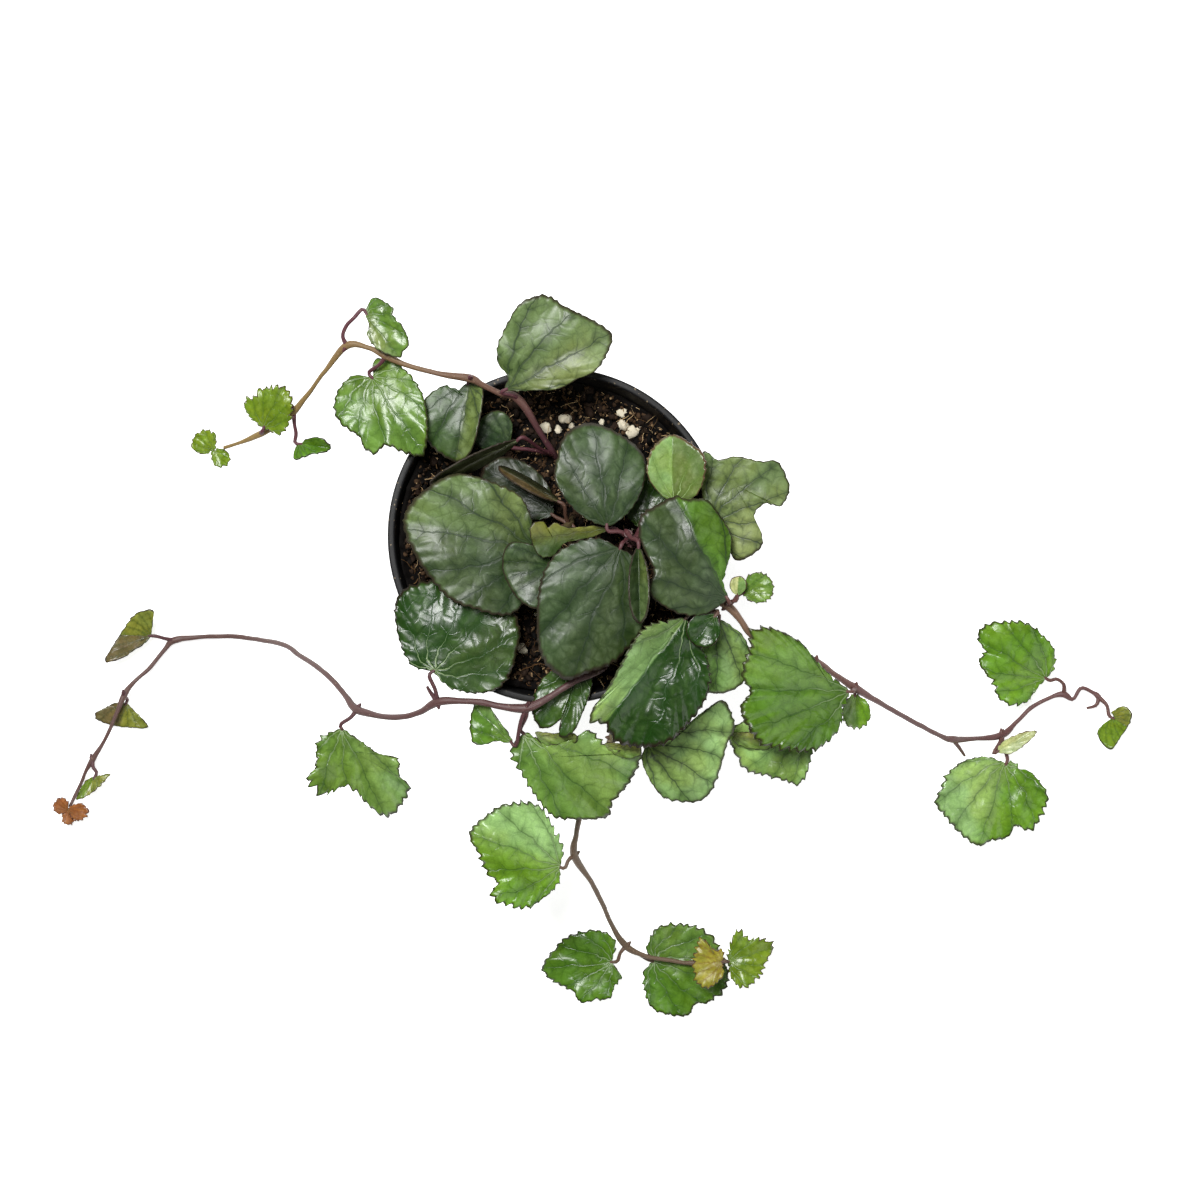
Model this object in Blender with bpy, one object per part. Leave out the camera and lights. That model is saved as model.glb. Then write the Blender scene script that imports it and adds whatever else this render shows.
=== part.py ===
"""Potted cape ivy: a nursery pot of peat with four trailing runners, three short stems and their leaves.

Lengths in the tables are millimetres. The origin is the centre of the pot's base and +Z is up.
Places on the plant are noted as they look from straight above, against the plane of the pot's rim,
with their height as the third number. seen() moves each one along the line of sight to that height.
"""

import math
from collections import namedtuple

import bmesh
import bpy
from mathutils import Matrix, Vector

MM = 0.001

# Pot: a thin-walled round nursery pot with a rolled rim.
RIM_DIAMETER = 102.0
RIM_BAND_HEIGHT = 9.0
RIM_OVERHANG = 1.3
POT_HEIGHT = 88.0
BASE_DIAMETER = 72.0
WALL = 1.2
FLOOR = 1.8
POT_SIDES = 40
DRAIN_HOLES = 6
DRAIN_HOLE_DIAMETER = 7.0
DRAIN_CIRCLE_DIAMETER = 50.0

# Peat: its surface is higher on the left and front, and white granules stand out of it.
SOIL_HEIGHT = 76.5
SOIL_SLOPE = 1.8
SOIL_RINGS = 5
SOIL_LUMP = 0.7
HOLE_DEPTH = 9.0
HOLE_CLEARANCE = 0.9

# Clearance between pieces that touch.
GAP = 0.3

# The point from which the plant is looked at.
EYE = Vector((13.3, -19.4, 945.0))

LEAF_THICKNESS = 0.75
PETIOLE_RADIUS = 0.75
STALK_END = 1.2
STALK_GAP = 0.75
STALK_TIP_RADIUS = 0.5
PATH_SPACING = 6.5
NODE_SWELLING = 0.35

Stem = namedtuple("Stem", "name route radius tip_radius colour twigs")

# A blade runs from base, where its stalk meets it, to tip. lift is the slope of its left and right
# halves, in degrees. outline is the rest of its edge as seen from above, from the base round. A blade
# without one is an oval of the given width. via is the route of its stalk.
Leaf = namedtuple(
    "Leaf",
    "name stem joint base tip lift look arch width outline via",
    defaults=((), ()),
)

# A blade at each age: height of its teeth and of its waves over its length, and colour.
Look = namedtuple("Look", "teeth wave colour")

LOOKS = {
    "old": Look(0.006, 0.020, (0.10, 0.17, 0.07)),
    "fresh": Look(0.022, 0.030, (0.12, 0.27, 0.04)),
    "young": Look(0.050, 0.040, (0.20, 0.33, 0.06)),
    "pale": Look(0.020, 0.030, (0.35, 0.45, 0.16)),
    "olive": Look(0.010, 0.025, (0.17, 0.20, 0.06)),
    "bud": Look(0.060, 0.040, (0.33, 0.17, 0.06)),
}

# Blade mesh. Places on a blade are fractions of its length, along the midrib and across it.
OVAL_POINTS = 12
OVAL_BASE_SWELL = 0.08
OVAL_TIP_TAPER = 0.12
OVAL_NOTCH = 0.05
EDGE_STEPS = 2
HUB_RANGE = (0.14, 0.74)
HUB_STEP = 0.04
HUB_ROOM = 0.03
INNER_RING = 0.55
CREASE = 0.03
WAVES = 5.0
BUD_RADIUS = 0.9

PURPLE_BROWN = (0.13, 0.06, 0.05)
OLIVE_BROWN = (0.20, 0.17, 0.08)

STEMS = [
    Stem(
        "runner_northwest",
        [
            (-0.3, 23.9, 69.0), (-0.3, 24.2, 77.5), (-5.2, 32.0, 85.0), (-11.5, 41.5, 90.5),
            (-17.0, 43.2, 92.5), (-22.5, 45.8, 94.0), (-26.0, 47.6, 95.0), (-35.1, 49.0, 96.0),
            (-45.5, 51.8, 96.0), (-51.5, 54.5, 95.5), (-57.0, 56.9, 95.0), (-63.3, 57.6, 94.0),
            (-70.0, 49.7, 89.0), (-74.5, 43.6, 84.5), (-79.4, 37.6, 80.0), (-84.5, 33.5, 75.5),
            (-89.1, 30.9, 72.5), (-95.7, 28.2, 69.0), (-100.4, 26.7, 66.8),
        ],
        1.25, 0.7, PURPLE_BROWN, [],
    ),
    Stem(
        "runner_west",
        [
            (17.5, -31.0, 68.5), (17.5, -31.3, 77.5), (15.8, -36.8, 87.0), (13.0, -40.2, 91.0),
            (5.8, -43.8, 93.5), (-1.8, -48.5, 94.5), (-8.8, -52.1, 94.5), (-17.0, -51.5, 93.5),
            (-23.0, -50.3, 93.0), (-29.1, -50.0, 92.0), (-35.8, -50.3, 90.0), (-41.2, -53.3, 86.0),
            (-47.3, -54.8, 81.0), (-53.3, -54.5, 75.0), (-60.3, -52.4, 67.0), (-63.9, -48.2, 61.0),
            (-68.5, -42.7, 53.0), (-73.0, -39.1, 45.0), (-77.6, -36.1, 36.0), (-82.1, -33.0, 27.0),
            (-89.1, -31.5, 15.0), (-95.7, -30.6, 8.0), (-101.8, -30.3, 4.5), (-107.9, -30.6, 2.8),
            (-115.4, -31.5, 2.2), (-118.5, -34.5, 2.2), (-123.0, -40.0, 2.6), (-127.6, -44.2, 3.6),
            (-130.6, -48.2, 4.8), (-132.7, -53.3, 5.4), (-135.1, -58.8, 5.2), (-137.3, -63.3, 4.4),
            (-140.3, -67.9, 3.4), (-142.1, -70.9, 2.8), (-143.6, -74.8, 2.4), (-145.7, -79.1, 2.5),
            (-147.0, -82.0, 3.0),
        ],
        1.35, 0.7, PURPLE_BROWN,
        [(10, [(-37.8, -47.6, 90.5), (-39.0, -45.6, 91.5)])],
    ),
    Stem(
        "runner_south",
        [
            (27.0, -31.5, 68.5), (27.0, -31.8, 77.0), (24.8, -39.5, 88.5), (21.4, -47.3, 91.5),
            (18.6, -54.5, 88.0), (17.0, -61.2, 80.0), (13.3, -70.9, 71.0), (9.7, -78.5, 63.0),
            (7.0, -85.4, 56.0), (6.1, -90.6, 51.0), (5.5, -96.7, 45.0), (10.3, -104.2, 36.0),
            (13.3, -109.7, 29.0), (17.0, -117.9, 18.0), (21.2, -124.2, 10.5), (27.0, -127.0, 8.5),
            (33.0, -128.2, 7.8), (39.1, -129.1, 7.2), (43.6, -129.1, 7.0), (51.0, -128.5, 6.5),
        ],
        1.25, 0.8, OLIVE_BROWN, [],
    ),
    Stem(
        "runner_east",
        [
            (33.9, -8.8, 67.5), (33.9, -9.1, 76.5), (38.2, -13.0, 87.0), (46.5, -18.3, 91.7),
            (51.8, -21.1, 92.3), (55.8, -25.5, 91.5), (58.8, -29.7, 89.5), (64.8, -33.9, 86.0),
            (72.4, -36.2, 82.0), (78.5, -38.2, 78.0), (84.5, -42.1, 73.0), (90.6, -46.1, 67.0),
            (98.2, -50.6, 58.0), (107.3, -55.8, 44.0), (116.4, -60.6, 29.0), (120.0, -61.5, 23.0),
            (127.0, -61.3, 12.0), (134.8, -60.3, 4.5), (139.1, -56.4, 2.6), (143.6, -52.1, 2.2),
            (149.7, -48.8, 2.2), (153.6, -47.9, 2.2), (156.4, -49.4, 2.2), (158.8, -46.1, 2.2),
            (162.4, -47.3, 2.2), (164.2, -48.8, 2.2),
        ],
        1.30, 0.75, PURPLE_BROWN,
        [
            (15, [(122.0, -64.2, 18.0), (123.6, -66.4, 13.5)]),
            (25, [(163.4, -51.2, 2.4), (160.6, -52.2, 2.8)]),
        ],
    ),
    Stem(
        "stem_west",
        [(5.0, 5.0, 68.5), (5.0, 4.9, 77.0), (4.0, 3.4, 85.0), (1.5, 1.5, 90.0)],
        1.1, 0.9, OLIVE_BROWN, [],
    ),
    Stem(
        "stem_centre",
        [
            (24.5, -3.5, 67.5), (24.5, -3.4, 76.5), (23.4, -1.6, 90.0), (22.0, 0.0, 98.0),
            (21.8, 0.6, 101.0),
        ],
        1.4, 1.0, PURPLE_BROWN, [],
    ),
    Stem(
        "stem_southeast",
        [
            (31.0, -18.0, 67.5), (31.0, -18.1, 76.5), (34.0, -19.8, 87.0), (38.4, -21.4, 91.3),
            (43.6, -22.4, 92.0),
        ],
        1.1, 0.8, OLIVE_BROWN, [],
    ),
]

LEAVES = [
    # Upper left runner, from the pot outwards.
    Leaf("leaf_northwest_1", "runner_northwest", 3, (-15.2, 44.2, 96.0), (16.7, 61.2, 100.0),
         (4, -6), "old", 0.07, 0.0,
         ((-14.5, 48), (-17.5, 52.5), (-17.5, 58), (-13.5, 66.5), (-10.5, 70.5), (-6, 72.5),
          (-2, 72.5), (2.5, 69.5), (11.5, 65), (16.5, 61.5), (16.5, 57.5), (12.5, 50.5),
          (6.5, 47.5), (0.5, 44.5), (-8.5, 44))),
    Leaf("leaf_northwest_2", "runner_northwest", 6, (-26.6, 46.2, 90.3), (-30.6, 22.7, 90.0),
         (30, -2), "old", 0.06, 0.0,
         ((-22.5, 45.5), (-22.5, 38.5), (-25.5, 26), (-30.5, 22.5), (-38, 27.5), (-39.5, 32),
          (-40, 40), (-38, 43), (-33.5, 45.5), (-30, 44))),
    Leaf("leaf_northwest_3", "runner_northwest", 1, (-14.5, 27.8, 82.5), (-23.0, 35.3, 84.5),
         (0, 0), "old", 0.06, 12.0),
    Leaf("leaf_northwest_4", "runner_northwest", 1, (-11.2, 29.1, 92.5), (-38.2, 15.5, 93.5),
         (-74, 74), "olive", 0.06, 15.0),
    Leaf("leaf_northwest_5", "runner_northwest", 9, (-55.7, 48.1, 91.1), (-40.0, 24.5, 94.0),
         (4, -3), "fresh", 0.04, 0.0,
         ((-55, 53), (-50.5, 53), (-46, 50.5), (-41, 44), (-39, 35.5), (-40, 25), (-45, 25),
          (-51.5, 27.5), (-54.5, 25), (-58, 26.5), (-59.5, 30), (-65, 34), (-67, 39),
          (-65.5, 44.5), (-61, 48.5))),
    Leaf("leaf_northwest_6", "runner_northwest", 11, (-57.6, 67.3, 97.0), (-47.9, 54.5, 99.0),
         (10, 6), "fresh", 0.05, 0.0,
         ((-56.5, 70.5), (-54.5, 72), (-50, 69.5), (-49, 66), (-46.5, 63.5), (-44.5, 58.5),
          (-46, 56), (-48, 54), (-54, 56.5), (-57, 60.5), (-56.5, 63.5)),
         ((-64.5, 60.5, 95.0), (-63.4, 63.6, 96.0), (-61.2, 65.8, 96.6))),
    Leaf("leaf_northwest_7", "runner_northwest", 14, (-77.3, 27.9, 77.0), (-68.5, 26.7, 79.0),
         (42, 32), "fresh", 0.05, 0.0,
         ((-74.5, 29.5), (-71, 29.5), (-68, 26.5), (-71.5, 25), (-75, 24.5), (-79, 23), (-79, 26)),
         ((-79.2, 34.0, 79.0), (-78.6, 31.0, 77.5))),
    Leaf("leaf_northwest_8", "runner_northwest", 16, (-88.5, 32.7, 78.5), (-83.3, 44.2, 82.5),
         (4, 14), "young", 0.06, 0.0,
         ((-91.5, 35), (-93.5, 37.5), (-94, 40.5), (-91, 42), (-89.5, 44), (-83.5, 45),
          (-80.5, 43), (-80, 38), (-81, 34), (-83.5, 31), (-86.5, 32))),
    # Lower left runner.
    Leaf("leaf_west_1", "runner_west", 3, (6.7, -40.6, 90.2), (0.9, -60.6, 90.6),
         (0, 0), "fresh", 0.0, 0.0,
         ((2, -40), (-3, -42), (-6.5, -48), (-7, -54), (-4.5, -58), (-1, -57.5), (1.5, -55.5),
          (1, -60.5), (5, -59.5), (8, -53.5), (10.5, -46.5), (10.5, -42))),
    Leaf("leaf_west_2", "runner_west", 6, (-9.7, -59.7, 88.5), (16.1, -83.9, 83.0),
         (-4, -6), "fresh", 0.05, 0.0,
         ((-13.5, -65), (-11, -70.5), (-5.5, -79.5), (-1, -84.5), (3.5, -85.5), (15, -85),
          (17, -80.5), (22, -74.5), (25.5, -66.5), (20, -65.5), (14, -62.5), (10, -59), (5, -61.5),
          (-2.5, -63.5), (-6.5, -61))),
    Leaf("leaf_west_3", "runner_west", 6, (-13.3, -62.4, 89.5), (-25.1, -51.5, 88.0),
         (12, 12), "fresh", 0.05, 0.0,
         ((-18, -62), (-21.5, -63), (-25, -62.5), (-26, -57), (-24.5, -51), (-21, -51), (-18, -55),
          (-15, -59))),
    Leaf("leaf_west_4", "runner_west", 10, (-37.3, -41.2, 92.0), (-15.5, -19.4, 90.5),
         (-3, -2), "fresh", 0.04, 0.0,
         ((-43, -39.5), (-46.5, -34), (-48.5, -25.5), (-48, -19), (-43.5, -15), (-35, -13.5),
          (-23, -15), (-14.5, -20.5), (-11, -28.5), (-12, -34.5), (-13.5, -40.5), (-17.5, -46),
          (-25, -47.5), (-32.5, -45.5))),
    Leaf("leaf_west_5", "runner_west", 14, (-64.5, -58.5, 66.0), (-51.8, -84.2, 57.0),
         (5, 8), "fresh", 0.05, 0.0,
         ((-68, -59.5), (-72, -62.5), (-72.5, -69.5), (-75, -73.5), (-72, -77), (-69.5, -78),
          (-64, -75.5), (-60.5, -77), (-57.5, -80.5), (-52, -84.5), (-48, -82.5), (-44.5, -76),
          (-47.5, -72.5), (-48, -67.5), (-53.5, -66), (-57.5, -63.5), (-61, -61))),
    Leaf("leaf_west_6", "runner_west", 24, (-122.7, -30.3, 5.0), (-129.7, -30.0, 4.0),
         (30, 30), "fresh", 0.0, 0.0,
         ((-122, -26), (-122, -22.5), (-127, -23.5), (-130, -27), (-133.5, -32.5), (-136.5, -38),
          (-131.5, -37), (-127.5, -34.5), (-124.5, -32.5))),
    Leaf("leaf_west_7", "runner_west", 28, (-130.0, -50.6, 2.8), (-132.4, -57.9, 1.6),
         (3, 6), "fresh", 0.0, 0.0,
         ((-133, -50.5), (-136.5, -52), (-139.5, -54), (-138, -56), (-133, -57.5), (-128, -58),
          (-123.5, -58), (-125, -55.5), (-128, -52.5))),
    Leaf("leaf_west_8", "runner_west", 32, (-139.7, -73.0, 5.0), (-142.4, -78.2, 6.0),
         (20, 30), "young", 0.0, 0.0,
         ((-142, -74), (-144, -77), (-145, -79.5), (-142.5, -79), (-139, -76.5), (-136.5, -74),
          (-135, -72), (-137.5, -72.5))),
    # Lower runner.
    Leaf("leaf_south_1", "runner_south", 5, (27.9, -62.7, 77.0), (48.5, -75.8, 74.0),
         (12, -4), "old", 0.06, 0.0,
         ((26, -67), (27.5, -72), (30.5, -77), (33.5, -79.5), (40.5, -80.5), (44.5, -79.5),
          (47.5, -76), (50, -69), (52, -62), (54, -57.5), (51, -50), (47, -51.5), (42.5, -55),
          (37.5, -58.5), (32, -61))),
    Leaf("leaf_south_2", "runner_south", 10, (1.2, -100.0, 47.0), (-25.5, -90.3, 51.0),
         (-3, 3), "fresh", 0.06, 0.0,
         ((2, -94.5), (-0.5, -89.5), (-3, -84.5), (-7, -81), (-15.5, -81.5), (-20, -84),
          (-26, -90), (-23, -96.5), (-21, -101.5), (-17.5, -105), (-19.5, -107.5), (-18, -110.5),
          (-14, -111.5), (-9, -112.5), (-4, -109.5), (0.5, -105))),
    Leaf("leaf_south_3", "runner_south", 14, (17.0, -128.8, 9.5), (-3.6, -130.6, 6.5),
         (4, 4), "fresh", 0.06, 0.0,
         ((18, -124), (16.5, -121), (12.5, -119.5), (7.5, -120), (2.5, -122), (-1, -126),
          (-4, -130.5), (-1, -134.5), (5, -137.5), (7.5, -141), (12.5, -140), (16, -140),
          (17.5, -136.5), (19.5, -133))),
    Leaf("leaf_south_4", "runner_south", 14, (29.1, -128.5, 4.4), (52.1, -136.0, 3.6),
         (0, 0), "fresh", 0.0, 0.0,
         ((27.5, -125.5), (28.5, -122), (31, -118.5), (37.5, -117.5), (44, -119), (48, -122.5),
          (50.5, -128), (52, -133), (50.5, -137.5), (46, -141), (42, -141.5), (39.5, -145),
          (31.5, -144), (28, -141), (26.5, -134.5), (27.5, -130.5))),
    Leaf("leaf_south_5", "runner_south", 18, (50.2, -128.8, 11.6), (42.4, -129.4, 10.5),
         (8, 8), "bud", 0.06, 0.0,
         ((50.5, -125.5), (48, -125.5), (44, -122), (42.5, -125.5), (42, -129.5), (42.5, -134.5),
          (46, -136.5), (49, -134.5), (50.5, -132.5))),
    Leaf("leaf_south_6", "runner_south", 19, (52.1, -128.8, 7.0), (64.8, -124.8, 6.0),
         (10, 10), "young", 0.06, 0.0,
         ((52.5, -125), (53.5, -121.5), (55.5, -119.5), (58, -122), (62, -122), (65.5, -124),
          (63.5, -128.5), (61, -133.5), (56.5, -136.5), (53.5, -134))),
    # Right runner.
    Leaf("leaf_east_1", "runner_east", 4, (51.8, -18.8, 99.0), (35.8, 11.5, 103.0),
         (4, -30), "old", 0.05, 0.0,
         ((50.5, -13.5), (52.5, -6), (52.5, 1), (48, 8), (45, 11), (39.5, 11), (36, 12), (30, 9),
          (26, 6.5), (25, 1), (27, -5), (29.5, -10.5), (28, -16.5), (31.5, -20.5), (37.5, -23.5),
          (43.5, -24), (48, -22))),
    Leaf("leaf_east_2", "runner_east", 4, (56.6, -17.4, 94.5), (65.3, -14.2, 96.5),
         (10, 10), "young", 0.06, 8.5),
    Leaf("leaf_east_3", "runner_east", 4, (54.8, -18.0, 95.4), (55.4, -12.2, 98.0),
         (20, 25), "pale", 0.06, 5.0),
    Leaf("leaf_east_4", "runner_east", 9, (73.9, -57.3, 70.0), (58.2, -70.3, 66.0),
         (4, 8), "fresh", 0.05, 0.0,
         ((66.5, -54), (59, -55), (52.5, -59.5), (54, -65), (57.5, -70.5), (64, -72.5),
          (69.5, -74), (73.5, -75), (76, -71), (77.5, -64), (77.5, -60))),
    Leaf("leaf_east_5", "runner_east", 11, (88.5, -47.0, 76.0), (57.0, -46.7, 88.0),
         (-5, 15), "fresh", 0.04, 0.0,
         ((83.5, -43), (77.5, -36.5), (73.5, -32), (65, -28), (59, -29), (59, -33), (56.5, -42),
          (59, -47), (56, -52.5), (60.5, -61), (65, -63.5), (78, -64.5), (85.5, -58), (86.5, -52))),
    Leaf("leaf_east_6", "runner_east", 11, (90.3, -48.0, 66.0), (91.2, -58.0, 63.0),
         (15, 15), "young", 0.06, 8.0),
    Leaf("leaf_east_7", "runner_east", 17, (136.0, -68.8, 6.0), (127.9, -93.0, 4.5),
         (2, 4), "fresh", 0.05, 0.0,
         ((137.5, -68), (140.5, -70.5), (144, -72), (148.5, -78), (147.5, -82.5), (146, -86),
          (143, -89), (139, -87.5), (136.5, -91), (131.5, -92), (127.5, -93.5), (122, -89.5),
          (118.5, -85.5), (115, -81), (116.5, -76.5), (119, -71.5), (124, -68), (130.5, -67))),
    Leaf("leaf_east_8", "runner_east", 17, (133.6, -65.1, 7.5), (144.8, -59.1, 10.0),
         (14, 14), "pale", 0.06, 0.0,
         ((135, -62.5), (138.5, -60.5), (142, -59.3), (145.5, -59.3), (142, -63), (137.5, -65.8))),
    Leaf("leaf_east_9", "runner_east", 21, (148.2, -43.0, 5.5), (128.2, -31.5, 7.5),
         (5, 5), "fresh", 0.06, 0.0,
         ((150.5, -40), (150.5, -34.5), (147.5, -30.5), (142.5, -26.5), (138.5, -26),
          (131.5, -26.5), (128, -29), (128, -32), (130, -35), (128, -38), (130, -41.5),
          (132.5, -44.5), (134, -49), (138, -51), (142.5, -50), (145.5, -46)),
         ((153.6, -45.0, 3.6), (151.6, -43.4, 4.8))),
    Leaf("leaf_east_10", "runner_east", 25, (168.5, -55.1, 5.0), (173.0, -57.9, 8.0),
         (20, 25), "fresh", 0.0, 0.0,
         ((168, -53.5), (170, -52), (172, -51.5), (174, -53.5), (173.5, -56.5), (171, -60.5),
          (168, -64.5), (165, -62.5), (163.8, -59.5), (165.5, -57)),
         ((166.6, -51.2, 3.2),)),
    # Short stem in the left of the pot.
    Leaf("leaf_inner_1", "stem_west", 3, (-7.3, -3.6, 92.0), (-45.8, 2.4, 95.5),
         (3, 2), "old", 0.05, 0.0,
         ((-7.5, 5), (-11, 12), (-17.5, 15.5), (-24.5, 18), (-31.5, 18.5), (-39.5, 14), (-45, 8),
          (-46, 2.5), (-43.5, -4), (-39, -11.5), (-32, -19), (-24.5, -22), (-15.5, -24),
          (-10, -20.5), (-6.5, -12))),
    Leaf("leaf_inner_2", "stem_west", 3, (-1.2, -9.1, 96.5), (-14.5, -12.7, 98.0),
         (6, 6), "old", 0.05, 0.0,
         ((-3.5, -5), (-8, -2.5), (-13.5, -2), (-16, -5.5), (-16, -10.5), (-14.5, -14.5),
          (-11.5, -19), (-6.5, -22), (-3, -19.5), (-1.5, -14.5))),
    Leaf("leaf_inner_3", "stem_west", 2, (-1.0, 6.4, 83.5), (-21.5, 21.0, 82.3),
         (0, 0), "old", 0.0, 15.0),
    Leaf("leaf_inner_4", "stem_west", 2, (1.0, 10.2, 91.0), (-17.5, 20.8, 92.0),
         (74, -74), "olive", 0.06, 11.5),
    # Central stem.
    Leaf("leaf_centre_1", "stem_centre", 3, (15.5, 3.0, 100.0), (10.9, 33.9, 98.0),
         (2, -8), "old", 0.06, 0.0,
         ((9.5, 5), (4.5, 9), (1, 14), (-0.5, 18.5), (0.5, 24.5), (2, 29.5), (6, 33), (11, 34),
          (17, 32), (22.5, 28.5), (26.5, 24), (27, 18.5), (25.5, 13), (23, 8.5), (19.5, 5))),
    Leaf("leaf_centre_2", "stem_centre", 2, (25.2, 2.6, 88.2), (31.0, 18.0, 87.0),
         (0, 0), "fresh", 0.03, 19.0),
    Leaf("leaf_centre_3", "stem_centre", 2, (35.1, 10.3, 94.0), (35.1, 30.3, 98.0),
         (42, 30), "pale", 0.06, 0.0,
         ((29.5, 15), (27.5, 20), (29, 26), (32.5, 29.5), (36, 30.5), (40.5, 28), (44.5, 24.5),
          (45, 18.5), (42, 12))),
    Leaf("leaf_centre_4", "stem_centre", 3, (19.4, -3.9, 103.0), (4.8, -43.0, 99.0),
         (-9, 1), "old", 0.05, 0.0,
         ((14, -1), (9, -1), (3.5, -3), (-1, -6.5), (-4, -12), (-5.5, -19.5), (-5.5, -31.5),
          (-3.5, -38), (0, -41.5), (3.5, -43.5), (9, -41.5), (17, -38.5), (22, -33.5), (26, -28),
          (27.5, -21), (26.5, -12), (23, -6))),
    Leaf("leaf_centre_5", "stem_centre", 4, (24.8, -3.2, 106.0), (25.3, -26.5, 107.0),
         (62, 62), "old", 0.03, 12.0),
    Leaf("leaf_centre_6", "stem_centre", 3, (16.1, 2.1, 95.6), (-7.0, -0.6, 101.0),
         (-8, 10), "olive", 0.0, 0.0,
         ((11.5, 3), (5, 2.5), (2, 3), (-0.5, 4), (-2.5, 2.5), (-4.5, 4.5), (-7.5, 3), (-7.5, -1),
          (-5, -6), (-1, -6), (3, -2), (10.5, -0.5))),
    Leaf("leaf_centre_7", "stem_centre", 2, (47.0, 4.5, 92.8), (70.0, 13.3, 94.0),
         (4, -4), "old", 0.04, 0.0,
         ((44.5, 11), (43.5, 18.5), (44.5, 25.5), (49, 23), (54.5, 24), (62, 22.5), (67, 22.5),
          (70, 17), (70.5, 13.5), (68, 9), (64, 10), (60, 6.5), (62.5, -1), (61, -4.5), (55, -7.5),
          (52, -4), (49, 0))),
    # Short stem in the right of the pot.
    Leaf("leaf_inner_5", "stem_southeast", 3, (39.1, -25.1, 95.5), (14.8, -56.4, 95.5),
         (-5, 58), "fresh", 0.04, 0.0,
         ((33.5, -26), (27.5, -27.5), (23, -33), (19.5, -39.5), (15.5, -46.5), (11.5, -52),
          (10.5, -56), (14.5, -56.5), (17.5, -61.5), (23, -63.5), (30, -63.5), (35, -61.5),
          (40.5, -56), (45, -49.5), (46.5, -43), (45, -36), (42.5, -31.5))),
    Leaf("leaf_inner_6", "stem_southeast", 4, (49.1, -25.3, 89.4), (48.5, -47.6, 86.5),
         (-8, 0), "old", 0.06, 19.0),
    Leaf("leaf_inner_7", "stem_southeast", 4, (48.2, -24.0, 96.6), (41.5, -32.6, 98.0),
         (20, 20), "fresh", 0.06, 10.0),
]

# Crowded young leaves at two runners' ends: each cluster is one piece.
TIP_CLUSTERS = [
    ("leaf_northwest_tip", (-103.6, 25.8, 66.6), "young",
     [((-108.8, 30.6, 67.5), 7.0), ((-99.6, 21.6, 66.5), 5.0)]),
    ("leaf_west_tip", (-147.6, -83.0, 4.0), "bud",
     [((-151.4, -80.6, 6.5), 4.5), ((-141.8, -83.8, 6.5), 4.5), ((-147.2, -87.2, 4.0), 4.0)]),
]

# White granules in the peat: place and radius.
GRANULES = [
    (4.5, 42.6, 2.4), (11.6, 42.0, 1.8), (2.8, 35.6, 2.3), (-3.3, 32.6, 2.0), (0.6, 32.3, 1.5),
    (4.8, 33.0, 1.4), (20.2, 37.8, 2.9), (20.4, 33.8, 2.0), (23.0, 31.6, 2.7), (25.6, 33.2, 2.0),
    (-10.2, -34.0, 2.0), (-7.8, 18.4, 1.6),
]


def seen(place):
    """The place in space, in millimetres, of a point noted as seen from above."""
    x, y, z = place
    spread = (EYE.z - z) / (EYE.z - POT_HEIGHT)
    return Vector((EYE.x + (x - EYE.x) * spread, EYE.y + (y - EYE.y) * spread, z))


def material(name, colour, roughness):
    """A piece's own finish."""
    made = bpy.data.materials.new(name)
    made.use_nodes = True
    shader = made.node_tree.nodes["Principled BSDF"]
    shader.inputs["Base Color"].default_value = (*colour, 1.0)
    shader.inputs["Roughness"].default_value = roughness
    shader.inputs["Metallic"].default_value = 0.0
    return made


def add_object(name, mesh, finish=None):
    """Links a mesh to the scene under its node's name."""
    made = bpy.data.objects.new(name, mesh)
    bpy.context.scene.collection.objects.link(made)
    if finish:
        mesh.materials.clear()
        mesh.materials.append(finish)
    return made


def mesh_from(name, corners, faces):
    """A mesh, in metres, from corners in millimetres."""
    made = bpy.data.meshes.new(name)
    made.from_pydata([corner * MM for corner in corners], [], faces)
    made.validate()
    return made


def drop_scraps(shape):
    """Keeps only the largest connected piece of a mesh, without the slivers that a union can leave."""
    unseen, pieces = set(shape.verts), []
    while unseen:
        reached, waiting = set(), [unseen.pop()]
        while waiting:
            corner = waiting.pop()
            reached.add(corner)
            fresh = {edge.other_vert(corner) for edge in corner.link_edges} & unseen
            unseen -= fresh
            waiting.extend(fresh)
        pieces.append(reached)
    largest = max(pieces, key=len)
    scraps = [corner for piece in pieces if piece is not largest for corner in piece]
    bmesh.ops.delete(shape, geom=scraps, context="VERTS")


def baked(source):
    """A plain mesh of an object with its modifiers applied and doubles merged. The object is removed."""
    bpy.context.view_layer.update()
    graph = bpy.context.evaluated_depsgraph_get()
    made = bpy.data.meshes.new_from_object(source.evaluated_get(graph))
    bpy.data.objects.remove(source)
    shape = bmesh.new()
    shape.from_mesh(made)
    bmesh.ops.remove_doubles(shape, verts=shape.verts, dist=1e-6)
    drop_scraps(shape)
    bmesh.ops.recalc_face_normals(shape, faces=shape.faces)
    shape.to_mesh(made)
    shape.free()
    return made


def combined(main, others, operation):
    """The main object's mesh joined with, or cut by, a list of objects, which are then removed."""
    group = bpy.data.collections.new("operands")
    bpy.context.scene.collection.children.link(group)
    for other in others:
        bpy.context.scene.collection.objects.unlink(other)
        group.objects.link(other)
    step = main.modifiers.new("combine", "BOOLEAN")
    step.operation = operation
    step.operand_type = "COLLECTION"
    step.collection = group
    step.solver = "EXACT"
    made = baked(main)
    for other in list(group.objects):
        bpy.data.objects.remove(other)
    bpy.data.collections.remove(group)
    return made


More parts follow.
